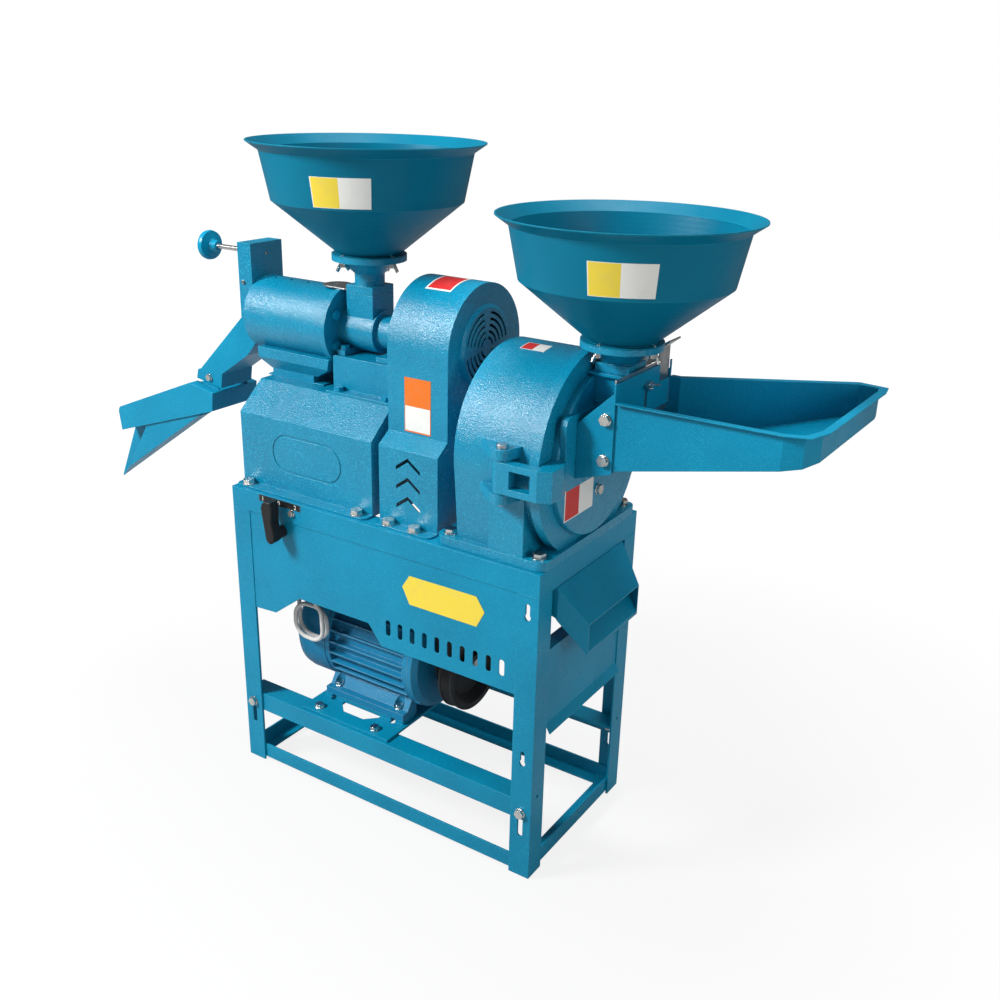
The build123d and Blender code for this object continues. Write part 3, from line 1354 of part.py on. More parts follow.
def feed_throat():
    """Welded sheet box from the hopper duct and the feed tray into the door."""
    t = 2.5
    x0 = throat_left
    x1 = throat_right
    y0 = mid - throat_half
    y1 = mid + throat_half
    outer = [(x0, throat_floor), (x0, 700), (x1, 750), (x1, throat_mouth)]
    box = side(outer, y0, y1)
    half = duct_side / 2
    box += block(duct_x - half, duct_x + half, mid - half, mid + half, 700, duct_top)
    box += block(duct_x - 32, duct_x + 32, mid - 32, mid + 32, duct_top - 4, duct_top)
    box += block(x1 - 2, x1, y0, y1, 700, header_top)
    inner = [(x0 - 1, throat_floor + t - 0.3), (x0 - 1, 699 - t * 1.4), (x1 - 2, 748 - t * 1.4), (x1 - 2, 700),
             (x1 + 1, 700), (x1 + 1, throat_mouth + t)]
    box -= side(inner, y0 + t, y1 - t)
    box -= block(duct_x - half + 4, duct_x + half - 4, mid - half + 4, mid + half - 4, mouth_top + 6, duct_top + 1)
    box -= block(x0 + t, duct_x + half - 4, mid - half + 4, mid + half - 4, 690, mouth_top + 7)
    box -= block(duct_x - half - 1, x0, mid - 40, mid + 40, 690, mouth_top + 0.4)
    box -= block(duct_x - 40, door_right + seat_gap, mid - 40, mid + 40, 690, grinder_z + door_radius + seat_gap)
    box -= block(gate_plate_x - 0.4, gate_plate_x + gate_wall + 0.3, y0 + t + 1.2, y1 - t - 1.2, 700, header_top + 1)
    box -= block(x1 - 3, x1 + 1, mid + 2, mid + 11, 695, 741)
    box -= rod_x(x1 - 3, x1 + 1, mid + 6.5, 741, 4.5)
    ear_low = gate_ear_top - gate_travel - 1.5
    box -= block(x1 - 2.5, x1 + 1, gate_ear_y - 1.5, y1 - gate_margin + 1.5, ear_low, header_top + 1)
    for x, z in cheek_bolts:
        box -= rod_y(x, y0 - 1, y0 + t + 1, z, m8 / 2 + bolt_hole_gap)
        box -= rod_y(x, y1 - t - 1, y1 + 1, z, m8 / 2 + bolt_hole_gap)
    return box


def tray_gate():
    """Raised gate plate with a bent top and the wing screw that clamps it."""
    x0 = gate_plate_x
    y0 = mid - throat_half + gate_margin
    y1 = mid + throat_half - gate_margin
    plate = block(x0, x0 + gate_wall, y0, y1, 691, 764)
    plate += block(x0, x0 + gate_wall, gate_ear_y, y1, 763, gate_ear_top + 1)
    bent = [(x0, gate_ear_top), (x0 + gate_wall, gate_ear_top), (x0 + 16, gate_ear_top + 11),
            (x0 + 16, gate_ear_top + 13), (x0 + 14, gate_ear_top + 13), (x0, gate_ear_top + 4)]
    lip = side(bent, gate_ear_y, y1)
    seat = facing(throat_right + 0.3, mid + 6.5, 740, (1, 0, 0))
    screw = wing_screw(seat, 7.0, 4.9)
    return [plate + lip, screw]


def tray_floor(x):
    return top + tray_low + (x - 636) * tray_rise


def feed_tray():
    """Sheet feed tray: sloping floor, upright walls and a level rim, open at the throat."""
    t = tray_wall
    z1 = top + tray_rim_height
    near = mid - throat_half + 2.5 + seat_gap
    far = mid + throat_half - 2.5 - seat_gap
    left = throat_right - 22
    right = tray_right
    wall = [(left, near), (throat_right + 2, near), (852, near + 3), (right - 8, near + 12), (right + 3, near + 42), (right + 8, 322),
            (right + 5, 341), (860, 346), (650, far), (left, far)]
    body = plan(wall, 600, z1)
    inner = [(left - 1, near + t), (throat_right + 2, near + t), (852, near + 3 + t), (right - 9, near + 13), (right + 3 - t, near + 42.5),
             (right + 8 - t, 322), (right + 5 - t, 340), (860, 346 - t), (650.5, far - t), (left - 1, far - t)]
    rim = [(throat_right + 0.5, near - 8), (854, near - 5), (right + 1, near + 5), (right + 12, near + 40),
           (right + 18, 323), (right + 14, 350), (857, 356), (647, far + 8), (throat_right + 0.5, far + 8)]
    body += plan(rim, z1 - t, z1)
    hollow = plan(inner, 600, z1 + 1)
    keep = [(left - 2, tray_floor(left - 2) + t), (920, tray_floor(920) + t), (920, z1 + 5), (left - 2, z1 + 5)]
    body -= hollow & side(keep, 0, 400)
    body -= side([(left - 2, 590), (left - 2, tray_floor(left - 2)), (920, tray_floor(920)), (920, 590)], 0, 400)
    body -= block(left - 1, throat_right + 0.5, 0, 300, 721, z1 + 1)
    body -= block(throat_right - 2.5, throat_right + 0.5, 0, 300, 699.5, z1 + 1)
    body -= block(gate_plate_x - 0.5, gate_plate_x + gate_wall + 0.5, near + t, far - t, 645.4, z1 + 1)
    for x, z in cheek_bolts:
        body -= rod_y(x, near - 1, near + t + 1, z, m8 / 2 + bolt_hole_gap)
        body -= rod_y(x, far - t - 1, far + 1, z, m8 / 2 + bolt_hole_gap)
    return body


# Fasteners
def nut(place, size):
    body = extrude(hexagon(0.95 * size), amount=0.75 * size) - Pos(0, 0, -1) * Cylinder(
        size / 2 + 0.1, size + 4, align=(Align.CENTER, Align.CENTER, Align.MIN))
    return place * body


def frame_bolts():
    """M10 bolts that hold the two covers and the grinder on the top frame, each with its nut."""
    solids = []
    seats = [(x, y, top + seat_gap + cover_wall) for x, y in both_sides(cover_bolts)]
    seats += [(x, y, top + seat_gap + guard_wall) for x, y in both_sides(guard_bolts)]
    seats += [(x, y, top + seat_gap + base_wall) for x, y in both_sides(base_bolts)]
    for x, y, z in seats:
        grip = z - top + angle_wall + 9
        solids.append(bolt(facing(x, y, z, (0, 0, 1)), m10, grip, 15))
        solids.append(nut(facing(x, y, top - angle_wall, (0, 0, -1)), m10))
    return solids


def m8_bolts():
    """Smaller bolts of the stand, the motor and the rice mill, with nuts where they are open below."""
    solids = []

    def pair(x, y, z, normal, size, grip, through):
        solids.append(bolt(facing(x, y, z, normal), size, grip, 10))
        if through:
            back = tuple(-n for n in normal)
            far = (x + back[0] * through, y + back[1] * through, z + back[2] * through)
            solids.append(nut(facing(*far, back), size))

    for x in (leg_bolt_x, frame_length - leg_bolt_x):
        for y, n in ((0, -1), (frame_depth, 1)):
            pair(x, y, rail_bolt_z, (0, n, 0), m8, 14, 2 * angle_wall + seat_gap)
    plate_z = motor_rail_top + seat_gap + motor_plate_wall
    for x in plate_bolt_xs:
        for y in (plate_bolt_y, frame_depth - plate_bolt_y):
            pair(x, y, plate_z, (0, 0, 1), m8, 15, motor_plate_wall + seat_gap + angle_wall)
    for x in foot_xs:
        for y in foot_ys:
            pair(x, y, motor_base + 12, (0, 0, 1), m8, 30, 12 + seat_gap + motor_pad + motor_plate_wall)
    for x in pedestal_bolt_xs:
        for y in (pedestal_bolt_y, frame_depth - pedestal_bolt_y):
            pair(x, y, cover_top + seat_gap + 4, (0, 0, 1), m8, 15, 4 + seat_gap + cover_wall)
    for x, y in both_sides(foot_bolts):
        pair(x, y, pedestal_top + seat_gap + 8, (0, 0, 1), m8, 24, 16 + seat_gap)
    for angle in flange_bolt_angles:
        head = bolt(facing(flange_right, mid + flange_bolt_radius, mill_z, (1, 0, 0)), m8, flange_wall + 5.5)
        solids.append(around_x(head, angle, mill_z))
    pair(126, 0, top - 17, (0, -1, 0), 5.6, 6.5, 0)
    pair(tab_x, mid - box_half, tab_z, (0, -1, 0), 6.0, 8, 4.0)
    pair(tab_x, mid + box_half, tab_z, (0, 1, 0), 6.0, 8, 4.0)
    return solids


def door_bolts():
    solids = []
    for y, z in stator_bolts:
        solids.append(bolt(facing(door_right, y, z, (1, 0, 0)), m8, door_right - stator_left - 1))
    through = 2.5 + seat_gap + tray_wall
    for x, z in cheek_bolts:
        for y, n in ((mid - throat_half, -1), (mid + throat_half, 1)):
            solids.append(bolt(facing(x, y, z, (0, n, 0)), m8, through + 5))
            solids.append(nut(facing(x, y - n * through, z, (0, -n, 0)), m8))
    return solids


def rice_hopper():
    return hopper(throat_centre, rice_rim_height)


def grinder_hopper():
    return hopper(duct_x, grinder_rim_height)


def rice_collar():
    return collar(throat_centre, rice_rim_height, rice_gate_base, 0)


def grinder_collar():
    return collar(duct_x, grinder_rim_height, grinder_gate_base, -90)


def rice_gate():
    return slide_gate(throat_centre, rice_gate_base, 0)


def grinder_gate():
    return slide_gate(duct_x, grinder_gate_base, -90)


def rice_wing_nuts():
    return hopper_screws(throat_centre, rice_rim_height)


def door_wing_nuts():
    return hopper_screws(duct_x, grinder_rim_height)


nodes = [top_frame, stand_legs, bottom_frame, motor_rails, front_apron, end_panel, discharge_chute, motor_plate,
         motor_housing, motor_end_bell, fan_cowl, terminal_box, motor_rotor, motor_fan, motor_pulley, motor_cable,
         mill_belt, grinder_belt, box_cover, belt_guard, mill_pedestal, bran_funnel, mill_body, mill_casing,
         mill_screen, mill_shaft, milling_roller, mill_pulley, bearings, outlet_box, pressure_flap,
         pressure_spring, pressure_screw, rice_hood, rice_tray, broken_rice_chute, rice_hopper, rice_collar,
         rice_gate, grinder_body, grinder_shaft, grinder_pulley, claw_rotor, ring_sieve, grinder_door,
         stator_claws, hinge_pin, feed_throat, feed_tray, tray_gate, grinder_hopper, grinder_collar,
         grinder_gate, switch_body, switch_lever, frame_bolts, m8_bolts, door_bolts, rice_wing_nuts,
         door_wing_nuts]


def save(make):
    """Build one node, move it to the shared origin and write it."""
    made = make()
    pieces = made if isinstance(made, list) else [made]
    solids = []
    for piece in pieces:
        solids += (Pos(-frame_length / 2, -frame_depth / 2, 0) * piece).solids()
    shape = solids[0] if len(solids) == 1 else Compound(children=solids)
    shape.label = make.__name__
    export_step(shape, "parts/" + make.__name__ + ".step")
    return len(solids)


def main():
    os.makedirs("parts", exist_ok=True)
    for make in nodes:
        print(make.__name__, save(make))
    print("cable bend radius", coil_corner, "for cable diameter", 2 * cable_radius)


if __name__ == "__main__":
    main()
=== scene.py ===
import math

import bpy
import numpy as np
from mathutils import Matrix, Vector


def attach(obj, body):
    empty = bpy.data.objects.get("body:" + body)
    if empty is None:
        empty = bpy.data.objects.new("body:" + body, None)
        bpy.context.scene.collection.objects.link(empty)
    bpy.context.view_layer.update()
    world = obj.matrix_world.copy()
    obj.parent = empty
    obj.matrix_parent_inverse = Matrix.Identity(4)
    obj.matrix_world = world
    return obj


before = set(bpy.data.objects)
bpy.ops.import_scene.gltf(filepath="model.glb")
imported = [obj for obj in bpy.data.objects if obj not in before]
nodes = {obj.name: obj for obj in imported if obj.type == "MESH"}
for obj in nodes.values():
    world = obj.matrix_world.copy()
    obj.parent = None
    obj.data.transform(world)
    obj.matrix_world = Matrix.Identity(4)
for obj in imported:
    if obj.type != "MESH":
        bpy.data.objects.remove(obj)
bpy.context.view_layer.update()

# The stand, in metres. Places are given from its front left corner, and the frame's origin
# is under its middle.
STAND_LENGTH = 0.570
STAND_DEPTH = 0.287
MID = STAND_DEPTH / 2
CORNER = np.array((-STAND_LENGTH / 2, -MID, 0.0))
ALONG_X, ALONG_Y, ALONG_Z = np.eye(3)


def at(x, y, z):
    """A place given from the stand's front left corner: corner + (x, y, z)."""
    return CORNER + (x, y, z)


# Camera, at the photograph's viewing angle
CAM_AZ, CAM_EL, CAM_ROLL = 32.40534, 21.53918, 1.46287
CAM_PLACE = (0.94677, -1.29090, 1.12979)
CAM_LENS = 39.661
CAM_SENSOR = 36.0
CAM_NEAR = 0.01


def make_camera():
    """Looks along (-sin az cos el, cos az cos el, -sin el), turned by roll about that line."""
    az, el, roll = (math.radians(v) for v in (CAM_AZ, CAM_EL, CAM_ROLL))
    forward = Vector((-math.sin(az) * math.cos(el), math.cos(az) * math.cos(el), -math.sin(el)))
    right = forward.cross(Vector((0, 0, 1))).normalized()
    up = right.cross(forward)
    x = math.cos(roll) * right + math.sin(roll) * up
    y = -math.sin(roll) * right + math.cos(roll) * up
    data = bpy.data.cameras.new("camera")
    data.lens = CAM_LENS
    data.sensor_width = CAM_SENSOR
    data.clip_start = CAM_NEAR
    camera = bpy.data.objects.new("camera", data)
    bpy.context.scene.collection.objects.link(camera)
    turn = Matrix((x, y, -forward)).transposed().to_4x4()
    camera.matrix_world = Matrix.Translation(Vector(CAM_PLACE)) @ turn
    bpy.context.scene.camera = camera


# Node trees
def tree_of(material):
    material.use_nodes = True
    tree = material.node_tree
    tree.nodes.clear()
    return tree


def add(tree, kind, **values):
    """Adds a node; values name its properties, or its inputs where no property has the name."""
    node = tree.nodes.new("ShaderNode" + kind)
    for key, value in values.items():
        if hasattr(node, key):
            setattr(node, key, value)
        else:
            node.inputs[key.replace("_", " ")].default_value = value
    return node


def math_node(tree, operation, a, b=None, clamp=False):
    node = add(tree, "Math", operation=operation, use_clamp=clamp)
    for i, value in enumerate((a, b)):
        if value is None:
            continue
        if isinstance(value, (int, float)):
            node.inputs[i].default_value = value
        else:
            tree.links.new(value, node.inputs[i])
    return node.outputs[0]


def mix_colour(tree, factor, a, b):
    node = add(tree, "Mix", data_type="RGBA")
    tree.links.new(factor, node.inputs["Factor"])
    for name, value in (("A", a), ("B", b)):
        socket = [s for s in node.inputs if s.name == name and s.type == "RGBA"][0]
        if isinstance(value, tuple):
            socket.default_value = (*value, 1.0)
        else:
            tree.links.new(value, socket)
    return [s for s in node.outputs if s.type == "RGBA"][0]


def noise(tree, place, scale, detail=2.0, rough=0.5):
    node = add(tree, "TexNoise", Scale=scale, Detail=detail, Roughness=rough)
    tree.links.new(place, node.inputs["Vector"])
    return node.outputs["Fac"]


def spread(tree, value, low, high):
    node = add(tree, "MapRange", From_Min=low, From_Max=high)
    tree.links.new(value, node.inputs["Value"])
    return node.outputs["Result"]


def stretched(tree, place, sizes):
    node = add(tree, "Mapping")
    node.inputs["Scale"].default_value = sizes
    tree.links.new(place, node.inputs["Vector"])
    return node.outputs["Vector"]


def finish_material(tree, bsdf):
    out = add(tree, "OutputMaterial")
    tree.links.new(bsdf.outputs["BSDF"], out.inputs["Surface"])


def shader(tree, metal=0.0, specular=0.25):
    bsdf = add(tree, "BsdfPrincipled")
    bsdf.inputs["Metallic"].default_value = metal
    bsdf.inputs["Specular IOR Level"].default_value = specular
    return bsdf


def zone_mask(tree, place, limits):
    """1 inside a zone of the object, 0 outside: each limit is an axis, "over" or "under", and a value."""
    parts = add(tree, "SeparateXYZ")
    tree.links.new(place, parts.inputs["Vector"])
    mask = None
    for axis, way, value in limits:
        kind = "GREATER_THAN" if way == "over" else "LESS_THAN"
        test = math_node(tree, kind, parts.outputs[axis], value)
        mask = test if mask is None else math_node(tree, "MULTIPLY", mask, test)
    return mask


def edge_mask(tree, soft):
    """How much the rounded normal leaves the flat one: 0 on faces, rising on edges."""
    geometry = add(tree, "NewGeometry")
    dot = add(tree, "VectorMath", operation="DOT_PRODUCT")
    tree.links.new(soft, dot.inputs[0])
    tree.links.new(geometry.outputs["Normal"], dot.inputs[1])
    return spread(tree, dot.outputs["Value"], 0.995, 0.9)


def surface(name, pale, deep, worn_and_glint, rough, grain, grain_height, metal=0.0, specular=0.25,
            fleck_and_glint=0.0, cloud=6.0, edge=0.0012, stretch=None, rings=0.0, painted=None):
    """One finish: clouds between two colours, a fine grain in colour, gloss and height, whose bright specks
    are painted glints, with darker specks among them;
    a colour of wear and thinner paint on the edges, and edges that are rounded in the shading.
    painted names a zone where a metal piece is covered with the machine's paint."""
    material = bpy.data.materials.new(name)
    tree = tree_of(material)
    bsdf = shader(tree, metal, specular)
    place = add(tree, "TexCoord").outputs["Object"]
    fine_place = stretched(tree, place, stretch) if stretch else place
    soft = add(tree, "Bevel", samples=4, Radius=edge).outputs["Normal"]
    clouds = spread(tree, noise(tree, place, cloud, 3.0), 0.32, 0.68)
    fine = noise(tree, fine_place, grain, 2.0, 0.6)
    colour = mix_colour(tree, clouds, pale, deep)
    # Bright specks in the wear colour are painted glints of light; darker specks go to the deep colour.
    if fleck_and_glint:
        glint_specks = spread(tree, noise(tree, place, grain * 1.4, 1.0), 0.56, 0.70)
        colour = mix_colour(tree, math_node(tree, "MULTIPLY", glint_specks, fleck_and_glint), colour, worn_and_glint)
        dark_specks = spread(tree, noise(tree, place, grain * 1.1, 1.0), 0.44, 0.32)
        colour = mix_colour(tree, math_node(tree, "MULTIPLY", dark_specks, fleck_and_glint * 0.6), colour, deep)
    edges = math_node(tree, "MULTIPLY", edge_mask(tree, soft), noise(tree, place, 60.0, 3.0), True)
    colour = mix_colour(tree, edges, colour, worn_and_glint)
    if painted:
        mask = zone_mask(tree, place, painted)
        colour = mix_colour(tree, mask, colour, BLUE)
        tree.links.new(math_node(tree, "SUBTRACT", metal, mask), bsdf.inputs["Metallic"])
    tree.links.new(colour, bsdf.inputs["Base Color"])
    smudge = spread(tree, noise(tree, place, 22.0, 4.0), 0.3, 0.75)
    gloss = add(tree, "MapRange", To_Min=rough * 0.8, To_Max=rough * 1.3)
    tree.links.new(smudge, gloss.inputs["Value"])
    tree.links.new(gloss.outputs["Result"], bsdf.inputs["Roughness"])
    height = fine
    if rings:
        split = add(tree, "SeparateXYZ")
        tree.links.new(place, split.inputs["Vector"])
        wave = math_node(tree, "SINE", math_node(tree, "MULTIPLY", split.outputs["Z"], rings))
        height = math_node(tree, "ADD", fine, math_node(tree, "MULTIPLY", wave, 0.12))
    bump = add(tree, "Bump", Strength=0.6, Distance=grain_height)
    tree.links.new(height, bump.inputs["Height"])
    tree.links.new(soft, bump.inputs["Normal"])
    tree.links.new(bump.outputs["Normal"], bsdf.inputs["Normal"])
    finish_material(tree, bsdf)
    return material


def sticker(name, first, second, split, along="X", rim=(0.02, 0.02, 0.02), margin=0.03):
    """A blank two-colour plate: the colours meet at a share of its length, inside a thin rim."""
    material = bpy.data.materials.new(name)
    tree = tree_of(material)
    bsdf = shader(tree)
    bsdf.inputs["Roughness"].default_value = 0.35
    place = add(tree, "UVMap", uv_map="plate").outputs["UV"]
    parts = add(tree, "SeparateXYZ")
    tree.links.new(place, parts.inputs["Vector"])
    u, v = parts.outputs["X"], parts.outputs["Y"]
    way = u if along == "X" else v
    colour = mix_colour(tree, math_node(tree, "GREATER_THAN", way, split), first, second)
    across = math_node(tree, "ABSOLUTE", math_node(tree, "SUBTRACT", u, 0.5))
    upward = math_node(tree, "ABSOLUTE", math_node(tree, "SUBTRACT", v, 0.5))
    border = math_node(tree, "GREATER_THAN", math_node(tree, "MAXIMUM", across, upward), 0.5 - margin)
    colour = mix_colour(tree, border, colour, rim)
    dust = add(tree, "TexCoord").outputs["Object"]
    soil = math_node(tree, "MULTIPLY", spread(tree, noise(tree, dust, 60.0, 4.0), 0.5, 0.9), 0.15)
    colour = mix_colour(tree, soil, colour, (0.35, 0.36, 0.34))
    tree.links.new(colour, bsdf.inputs["Base Color"])
    bump = add(tree, "Bump", Strength=0.2, Distance=0.0001)
    tree.links.new(noise(tree, dust, 500.0), bump.inputs["Height"])
    tree.links.new(bump.outputs["Normal"], bsdf.inputs["Normal"])
    finish_material(tree, bsdf)
    return material


# Colours, linear
# The third blue colours wear on the edges, and also the bright specks that are painted glints.
BLUE, BLUE_DEEP, BLUE_WORN_AND_GLINT = (0.0005, 0.248, 0.420), (0.0005, 0.188, 0.330), (0.02, 0.43, 0.62)
# The hoppers' blue is the machine's blue made darker: painted shade on the hoppers, whose outer walls face
# downward.
HOPPER_SHADED, HOPPER_SHADED_DEEP = (0.001, 0.165, 0.270), (0.001, 0.135, 0.225)
ZINC, ZINC_DEEP, ZINC_WORN = (0.80, 0.79, 0.74), (0.62, 0.62, 0.60), (0.85, 0.84, 0.80)
YELLOW, ORANGE, RED = (0.80, 0.62, 0.06), (0.75, 0.17, 0.02), (0.60, 0.03, 0.03)
WHITE, PLATE_BLACK = (0.80, 0.80, 0.76), (0.012, 0.012, 0.013)

finishes = {
    "hammer": surface("blue_hammer", BLUE, BLUE_DEEP, BLUE_WORN_AND_GLINT, 0.24, 480.0, 0.0016,
                      specular=0.55, fleck_and_glint=0.8),
    "sheet": surface("blue_sheet", BLUE, BLUE_DEEP, BLUE_WORN_AND_GLINT, 0.32, 600.0, 0.0008,
                     specular=0.22, fleck_and_glint=0.45),
    "spun": surface("blue_spun_shaded", HOPPER_SHADED, HOPPER_SHADED_DEEP, BLUE_WORN_AND_GLINT, 0.36, 900.0, 0.0003,
                    specular=0.12, fleck_and_glint=0.08, rings=900.0),
    "motor": surface("motor_enamel", (0.006, 0.215, 0.400), (0.003, 0.165, 0.330), (0.35, 0.45, 0.50), 0.36,
                     400.0, 0.0008, fleck_and_glint=0.15),
    "steel": surface("machined_steel", (0.62, 0.63, 0.65), (0.50, 0.51, 0.53), (0.75, 0.75, 0.76), 0.27,
                     700.0, 0.0001, metal=1.0, stretch=(6.0, 0.6, 0.6)),
    "galvanised": surface("galvanised_sheet", (0.68, 0.69, 0.69), (0.50, 0.52, 0.53),
                          (0.78, 0.78, 0.77), 0.33, 120.0, 0.0003, metal=1.0, fleck_and_glint=0.5, cloud=60.0),
    "zinc": surface("zinc_plate", ZINC, ZINC_DEEP, ZINC_WORN, 0.24, 900.0, 0.0002,
                    metal=1.0, cloud=90.0, edge=0.0005),
    "screw": surface("screw_and_wheel", (0.60, 0.60, 0.58), (0.45, 0.46, 0.46), (0.75, 0.75, 0.74), 0.27,
                     900.0, 0.0003, metal=1.0, painted=[("X", "under", -0.432)]),
    "part_zinc": surface("zinc_and_painted", ZINC, ZINC_DEEP, ZINC_WORN, 0.24, 900.0, 0.0002,
                         metal=1.0, cloud=90.0, edge=0.0005,
                         painted=[("Z", "over", 0.64), ("X", "over", -0.33), ("X", "under", 0.05)]),
    "black": surface("black_enamel", (0.018, 0.019, 0.021), (0.010, 0.010, 0.012), (0.16, 0.16, 0.16), 0.42,
                     500.0, 0.0006, fleck_and_glint=0.1),
    "plastic": surface("moulded_black", (0.014, 0.014, 0.016), (0.009, 0.009, 0.010),
                       (0.05, 0.05, 0.05), 0.40, 1400.0, 0.0004, cloud=30.0, edge=0.0006),
    "rubber": surface("belt_rubber", (0.020, 0.020, 0.021), (0.012, 0.012, 0.013), (0.06, 0.06, 0.06), 0.72,
                      900.0, 0.0008, cloud=40.0),
    "cable": surface("cable_sheath", (0.68, 0.68, 0.66), (0.56, 0.56, 0.55), (0.70, 0.70, 0.70), 0.50,
                     700.0, 0.0002, cloud=50.0),
    "iron": surface("grey_iron", (0.24, 0.245, 0.25), (0.15, 0.155, 0.16), (0.45, 0.45, 0.46), 0.45,
                    380.0, 0.0008, metal=0.9, cloud=20.0),
    "yellow_white": sticker("plate_yellow_white", YELLOW, WHITE, 0.48, rim=WHITE, margin=0.015),
    "orange_white": sticker("plate_orange_white", WHITE, ORANGE, 0.48, "Y", rim=ORANGE, margin=0.025),
    "red_white": sticker("plate_red_white", RED, WHITE, 0.5, rim=WHITE, margin=0.03),
    "red": sticker("plate_red", RED, RED, 0.5, rim=WHITE, margin=0.06),
    "yellow": sticker("plate_yellow", YELLOW, YELLOW, 0.5, margin=0.0),
    "plate": sticker("plate_black", PLATE_BLACK, PLATE_BLACK, 0.5, rim=(0.05, 0.05, 0.05)),
    "print": sticker("print_white", WHITE, WHITE, 0.5, margin=0.0),
}

finish_of = {
    "hammer": "box_cover belt_guard mill_pedestal bran_funnel mill_body mill_casing outlet_box rice_collar"
              " grinder_body grinder_door grinder_collar",
    "sheet": "top_frame stand_legs bottom_frame motor_rails front_apron end_panel discharge_chute"
             " motor_plate rice_hood rice_tray broken_rice_chute feed_throat feed_tray",
    "spun": "rice_hopper grinder_hopper",
    "motor": "motor_housing motor_end_bell fan_cowl",
    "steel": "mill_screen mill_shaft pressure_flap grinder_shaft hinge_pin motor_rotor ring_sieve bearings",
    "galvanised": "rice_gate grinder_gate tray_gate",
    "zinc": "frame_bolts door_bolts rice_wing_nuts door_wing_nuts pressure_spring",
    "part_zinc": "m8_bolts",
    "screw": "pressure_screw",
    "black": "motor_pulley mill_pulley grinder_pulley",
    "plastic": "terminal_box motor_fan switch_body switch_lever",
    "rubber": "mill_belt grinder_belt",
    "cable": "motor_cable",
    "iron": "claw_rotor stator_claws milling_roller",
}


def dress_nodes():
    for finish, names in finish_of.items():
        for name in names.split():
            mesh = nodes[name].data
            if not mesh.materials:
                mesh.materials.append(None)
            for i in range(len(mesh.materials)):
                mesh.materials[i] = finishes[finish]


# New pieces
SHARP_ANGLE = 35.0
PLATE_ROWS, PLATE_COLUMNS = 13, 17
PLATE_SEAT, PLATE_FACE = 0.0001, 0.0004


def object_of(name, points, faces, finish, body, uvs=None, smooth=True):
    """An object at the origin with its place in its points, which rides a body."""
    mesh = bpy.data.meshes.new(name)
    mesh.from_pydata(points.tolist(), [], faces)
    if uvs is not None:
        corners = np.empty(len(mesh.loops), dtype=np.int32)
        mesh.loops.foreach_get("vertex_index", corners)
        mesh.uv_layers.new(name="plate").data.foreach_set("uv", uvs[corners].ravel())
    if smooth:
        mesh.shade_smooth()
        mesh.set_sharp_from_angle(angle=math.radians(SHARP_ANGLE))
    mesh.materials.append(finishes[finish])
    piece = bpy.data.objects.new(name, mesh)
    bpy.context.scene.collection.objects.link(piece)
    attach(piece, body)
    return piece


def plate_on(name, place, finish, body):
    """A thin plate on a surface. place(u, v) gives points and outward normals for u and v
    from 0 to 1, and the plate fills points + normals * height between two heights."""
    u, v = (grid.ravel() for grid in np.meshgrid(np.linspace(0, 1, PLATE_COLUMNS),
                                                 np.linspace(0, 1, PLATE_ROWS)))
    points, normals = place(u, v)
    layers = np.concatenate((points + normals * PLATE_SEAT, points + normals * PLATE_FACE))
    total = len(points)
    number = np.arange(total).reshape(PLATE_ROWS, PLATE_COLUMNS)
    cells = np.stack((number[:-1, :-1], number[:-1, 1:], number[1:, 1:], number[1:, :-1]), axis=-1)
    cells = cells.reshape(-1, 4)
    ring = np.concatenate((number[0], number[1:, -1], number[-1, -2::-1], number[-2:0:-1, 0]))
    following = np.roll(ring, -1)
    rim = np.stack((ring, following, following + total, ring + total), axis=-1)
    faces = np.concatenate((cells + total, cells[:, ::-1], rim)).tolist()
    uvs = np.tile(np.stack((u, v), axis=-1), (2, 1))
    return object_of(name, layers, faces, finish, body, uvs=uvs)


def between(limits, share):
    return limits[0] + (limits[1] - limits[0]) * share


def flat_place(corner, along, upward, width, height):
    """A flat rectangle: corner + along * width * u + upward * height * v."""
    def place(u, v):
        points = corner + np.outer(width * u, along) + np.outer(height * v, upward)
        return points, np.cross(along, upward)
    return place


def cone_place(axis_x, angles, heights, rim_z):
    """A patch on a hopper's upper wall: out(angle) * radius, where the radius falls evenly
    with the depth under the rim, from WALL_TOP to WALL_LOW over WALL_SPAN."""
    slope = (WALL_TOP - WALL_LOW) / WALL_SPAN

    def place(u, v):
        angle = np.radians(between(angles, u))
        z = between(heights, v)
        radius = WALL_TOP - slope * (rim_z - RIM_DEPTH - z)
        out = np.stack((np.cos(angle), np.sin(angle), np.zeros_like(angle)), axis=-1)
        points = at(axis_x, MID, 0.0) + out * radius[:, None] + np.outer(z, ALONG_Z)
        normals = out - slope * ALONG_Z
        return points, normals / np.linalg.norm(normals, axis=-1, keepdims=True)
    return place


def round_place(axis_z, radius, xs, angles):
    """A patch on a drum that lies along x: axis + (0, cos, sin)(angle) * radius, with the
    angle from the back."""
    def place(u, v):
        angle = np.radians(between(angles, v))
        out = np.stack((np.zeros_like(angle), np.cos(angle), np.sin(angle)), axis=-1)
        points = at(0.0, MID, axis_z) + np.outer(between(xs, u), ALONG_X) + out * radius
        return points, out
    return place


# The hoppers' upper walls, and each plate's place on its piece
WALL_TOP, WALL_LOW, WALL_SPAN, RIM_DEPTH = 0.155, 0.141, 0.069, 0.014
RICE_HOPPER_X, RICE_RIM_Z = 0.171, 1.025
GRINDER_HOPPER_X, GRINDER_RIM_Z = 0.597, 0.957
MILL_Z, GRINDER_Z = 0.754, 0.635
GUARD_LEFT, GUARD_FRONT, GUARD_RADIUS = 0.306, 0.0515, 0.092
DRUM_RADIUS, DOOR_X = 0.139, 0.5733


